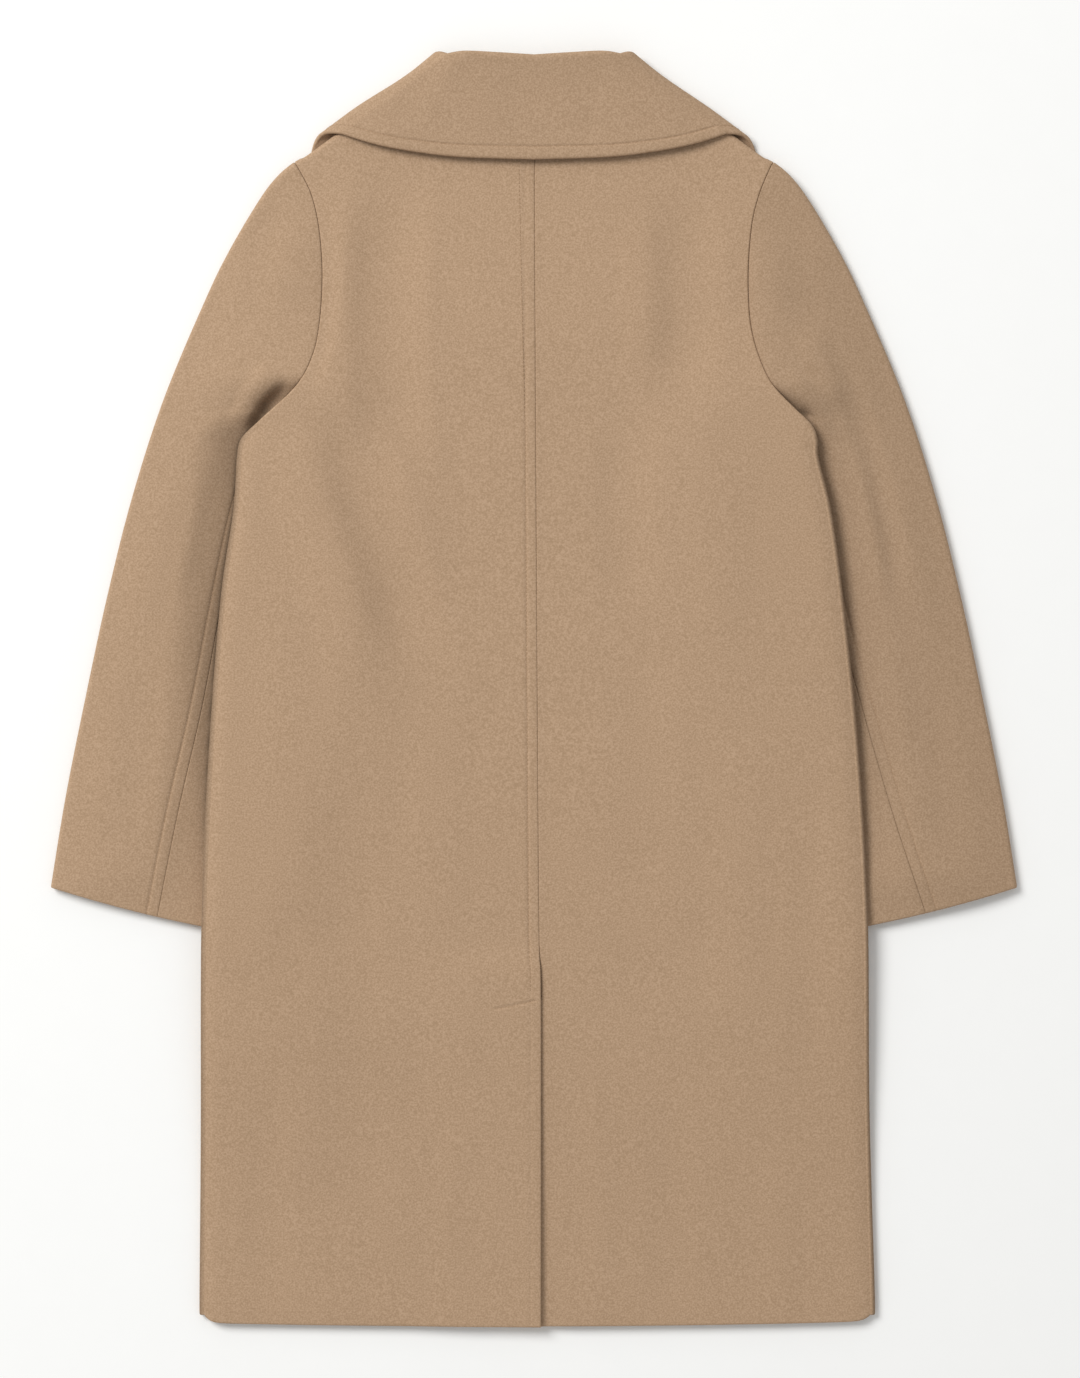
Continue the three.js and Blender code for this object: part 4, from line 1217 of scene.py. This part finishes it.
def build_collar(settings):
    """The collar: two layers sewn, turned and pressed, folded over the back of the neck."""
    front = 3 - spaced(1, COLLAR_END, [0], 0.028)[::-1]
    half = np.concatenate([np.linspace(0, 1, 56)[1:], np.linspace(1, 2, 19)[1:], front[1:]])
    t = np.concatenate([-half[::-1], [0], half])[:, None]
    edge_at, roll_at = (collar_surface(t, np.full_like(t, v)) for v in (3.0, 2.0))
    down = np.linalg.norm(edge_at - roll_at, axis=-1)[:, 0]
    inset = settings.collar_topstitch
    near_edge = [*COLLAR_TURNED, *(inset + k for k in BY_COLLAR_STITCHES)]
    fall = 2 + spread_columns(down, [1.5], near_edge, 30)
    stand = np.concatenate([np.linspace(0, 1, 6), np.linspace(1, 2, 15)[1:]])
    v = np.hstack([np.tile(stand, (len(t), 1)), fall])
    mid = collar_surface(np.broadcast_to(t, v.shape), v)
    stands = 1 - smoothstep(np.abs(t), 0.75, 1.15)
    mid[..., 2] += STAND_LIFTS * smoothstep(v, 0.1, 1.5) * stands
    n = normals(mid, True)
    n *= np.sign(n[len(t) // 2, -8, 2])
    p = mid + n * COLLAR_CLOTH / 2
    x, y = p[..., 0], p[..., 1]
    on_back = (1 - smoothstep(np.abs(t), 0.9, 1.2)) * (v > 2)
    relief = settings.fold_height * folds(x, y, COLLAR_FOLDS) * on_back
    edge = edge_distances(p)[3]
    relief += groove(edge - inset, *GROOVES["collar"]) * on_back
    # The fall stands a little off the back towards its edge.
    relief += EDGE_LIFTS * smoothstep(v, 2.7, 3) * stands
    # The turned edge stays a little full between its fold and the topstitch.
    full = np.clip(1 - ((edge - inset / 2) / (inset / 2)) ** 2, 0, 1)
    relief += EDGE_FULLNESS * full * on_back
    marks = edge_marks(p, (0, 0, 0, 0), (3, 3, 0, 3))
    # Painted shade over the whole collar, which slopes away from the light.
    marks["pressed"] = np.maximum(marks["pressed"], COLLAR_PAINTED_SHADE)
    up = bool(normals(p, True)[len(t) // 2, -8, 2] > 0)
    edges = (TURNED, TURNED, BURIED, COLLAR_EDGE)
    obj, outer, n = wall("wide_collar", p, COLLAR_CLOTH, relief, edges, up, marks)
    dress(obj, "collar", settings)
    stitched = slice(3, -3), v.shape[1] - 1 - near_edge.index(inset)
    return outer[stitched], n[stitched]


def size(name, description, default, low, high):
    """A size in millimetres, with its range."""
    return FloatProperty(name=name, description=description, default=default, min=low, max=high)


def colour(name, description, code):
    """A colour, from its sRGB hex code."""
    return FloatVectorProperty(
        name=name,
        description=description,
        default=linear(code)[:3],
        subtype="COLOR",
        min=0,
        max=1,
    )


class OvercoatSettings(bpy.types.PropertyGroup):
    """Sizes and colours of the coat. Sizes are in millimetres."""

    pitch: size("Grid pitch", "Spacing of the mesh on the back, in mm", 3.1, 2.5, 8)
    fold_height: FloatProperty(
        name="Fold height",
        description="How strongly the cloth's creases and swells show",
        default=1.0,
        min=0,
        max=2,
        subtype="FACTOR",
    )
    topstitch: size("Topstitch", "From the back seam to its topstitch, in mm", 8.6, 5, 12)
    collar_topstitch: size(
        "Collar topstitch", "From the collar's edge to its topstitch, in mm", 10.8, 9, 18
    )
    stitch_length: size("Stitch length", "From one stitch to the next, in mm", 3.4, 2, 6)
    thread_width: size("Thread width", "Thickness of the topstitching thread, in mm", 0.55, 0.2, 1)
    camel: colour("Camel", "Main colour of the melton", "#ae9175")
    dark_fibre: colour("Dark fibre", "Darkest fibres in the blend", "#a4886c")
    light_fibre: colour("Light fibre", "Palest fibres in the blend", "#b89b7f")
    thread: colour("Thread", "Colour of the sewing thread", "#a58463")
    table: colour("Table", "Colour of the table top", "#f8f8f6")
    key_power: FloatProperty(
        name="Key light",
        description="Power of the one large soft light, up and to the left of the coat",
        default=303,
        min=0,
        unit="POWER",
    )


class OVERCOAT_OT_backs(bpy.types.Operator):
    """Build the two back panels, with the centre seam, the vent and their topstitching"""

    bl_idname = "overcoat.backs"
    bl_label = "Back Panels"

    def execute(self, context):
        settings = context.scene.overcoat
        path, normal = build_back("left", settings)
        build_back("right", settings)
        shown = path[:, 1] > TOPSTITCH_FADES - 20
        start, end = np.array(VENT_STITCH)
        plan = mix(start, end, np.linspace(0, 1, VENT_STITCH_POINTS)[:, None])
        z = TUBE + lift_of(plan * (-1, 1), "left", "back")
        z = z + back_relief(plan[:, 0], plan[:, 1], settings)
        slanted = np.concatenate([plan, z[:, None]], -1)
        upwards = np.tile([0.0, 0.0, 1.0], (VENT_STITCH_POINTS, 1))
        runs = [(path[shown], normal[shown]), (slanted, upwards)]
        stitches("back_topstitch", runs, settings)
        return {"FINISHED"}


class OVERCOAT_OT_fronts(bpy.types.Operator):
    """Build the two front panels, which lie face down under the coat"""

    bl_idname = "overcoat.fronts"
    bl_label = "Front Panels"

    def execute(self, context):
        for side in ("left", "right"):
            build_front(side, context.scene.overcoat)
        return {"FINISHED"}


class OVERCOAT_OT_sleeves(bpy.types.Operator):
    """Build both two-piece sleeves and the topstitching beside their back seams"""

    bl_idname = "overcoat.sleeves"
    bl_label = "Sleeves"

    def execute(self, context):
        settings = context.scene.overcoat
        runs = []
        for side in ("left", "right"):
            runs.append(build_top_sleeve(side, settings))
            build_under_sleeve(side, settings)
        stitches("sleeve_topstitch", runs, settings)
        return {"FINISHED"}


class OVERCOAT_OT_collar(bpy.types.Operator):
    """Build the wide turned-down collar and the topstitching round its edge"""

    bl_idname = "overcoat.collar"
    bl_label = "Collar"

    def execute(self, context):
        settings = context.scene.overcoat
        stitches("collar_topstitch", [build_collar(settings)], settings)
        return {"FINISHED"}


class OVERCOAT_OT_stage(bpy.types.Operator):
    """Add the table, the studio light and the camera above the coat"""

    bl_idname = "overcoat.stage"
    bl_label = "Table, Light and Camera"

    def execute(self, context):
        settings = context.scene.overcoat
        scene = context.scene
        mesh = bpy.data.meshes.new("table_top")
        signs = ((-1, -1), (1, -1), (1, 1), (-1, 1))
        corners = [(x * TABLE_HALF, y * TABLE_HALF, TABLE_Z) for x, y in signs]
        mesh.from_pydata(corners, [], [(0, 1, 2, 3)])
        table = bpy.data.objects.new("table_top", mesh)
        scene.collection.objects.link(table)
        table.data.materials.append(table_material(settings))

        lamp = bpy.data.lights.new("key_light", "AREA")
        lamp.shape, lamp.size, lamp.energy = "DISK", LIGHT_WIDTH, settings.key_power
        light = bpy.data.objects.new("key_light", lamp)
        light.location = LIGHT_PLACE
        light.rotation_euler = (-Vector(light.location)).to_track_quat("-Z", "Y").to_euler()
        scene.collection.objects.link(light)
        world = bpy.data.worlds.new("studio")
        world.use_nodes = True
        background = world.node_tree.nodes["Background"]
        background.inputs["Color"].default_value = linear("#ffffff")
        background.inputs["Strength"].default_value = ROOM_LIGHT
        scene.world = world
        scene.view_settings.view_transform = "Standard"

        data = bpy.data.cameras.new("copy_stand")
        data.lens, data.sensor_width, data.clip_end = LENS_MM, 36, 50
        camera = bpy.data.objects.new("copy_stand", data)
        camera.location = CAMERA_PLACE
        scene.collection.objects.link(camera)
        scene.camera = camera
        return {"FINISHED"}


class OVERCOAT_PT_panel(bpy.types.Panel):
    """Lists the coat's settings and its pieces in the 3D view's sidebar"""

    bl_idname = "OVERCOAT_PT_panel"
    bl_label = "Overcoat"
    bl_space_type = "VIEW_3D"
    bl_region_type = "UI"
    bl_category = "Overcoat"

    def draw(self, context):
        for key in OvercoatSettings.__annotations__:
            self.layout.prop(context.scene.overcoat, key)
        for operator in OPERATORS:
            self.layout.operator(operator.bl_idname)


OPERATORS = (
    OVERCOAT_OT_backs,
    OVERCOAT_OT_fronts,
    OVERCOAT_OT_sleeves,
    OVERCOAT_OT_collar,
    OVERCOAT_OT_stage,
)
CLASSES = (OvercoatSettings, *OPERATORS, OVERCOAT_PT_panel)


def register():
    for cls in CLASSES:
        bpy.utils.register_class(cls)
    bpy.types.Scene.overcoat = PointerProperty(type=OvercoatSettings)


def unregister():
    del bpy.types.Scene.overcoat
    for cls in reversed(CLASSES):
        bpy.utils.unregister_class(cls)


def main():
    register()
    for operator in OPERATORS:
        group, name = operator.bl_idname.split(".")
        if getattr(getattr(bpy.ops, group), name)() != {"FINISHED"}:
            raise RuntimeError(f"{operator.bl_label} wasn't built")


if __name__ == "__main__":
    main()
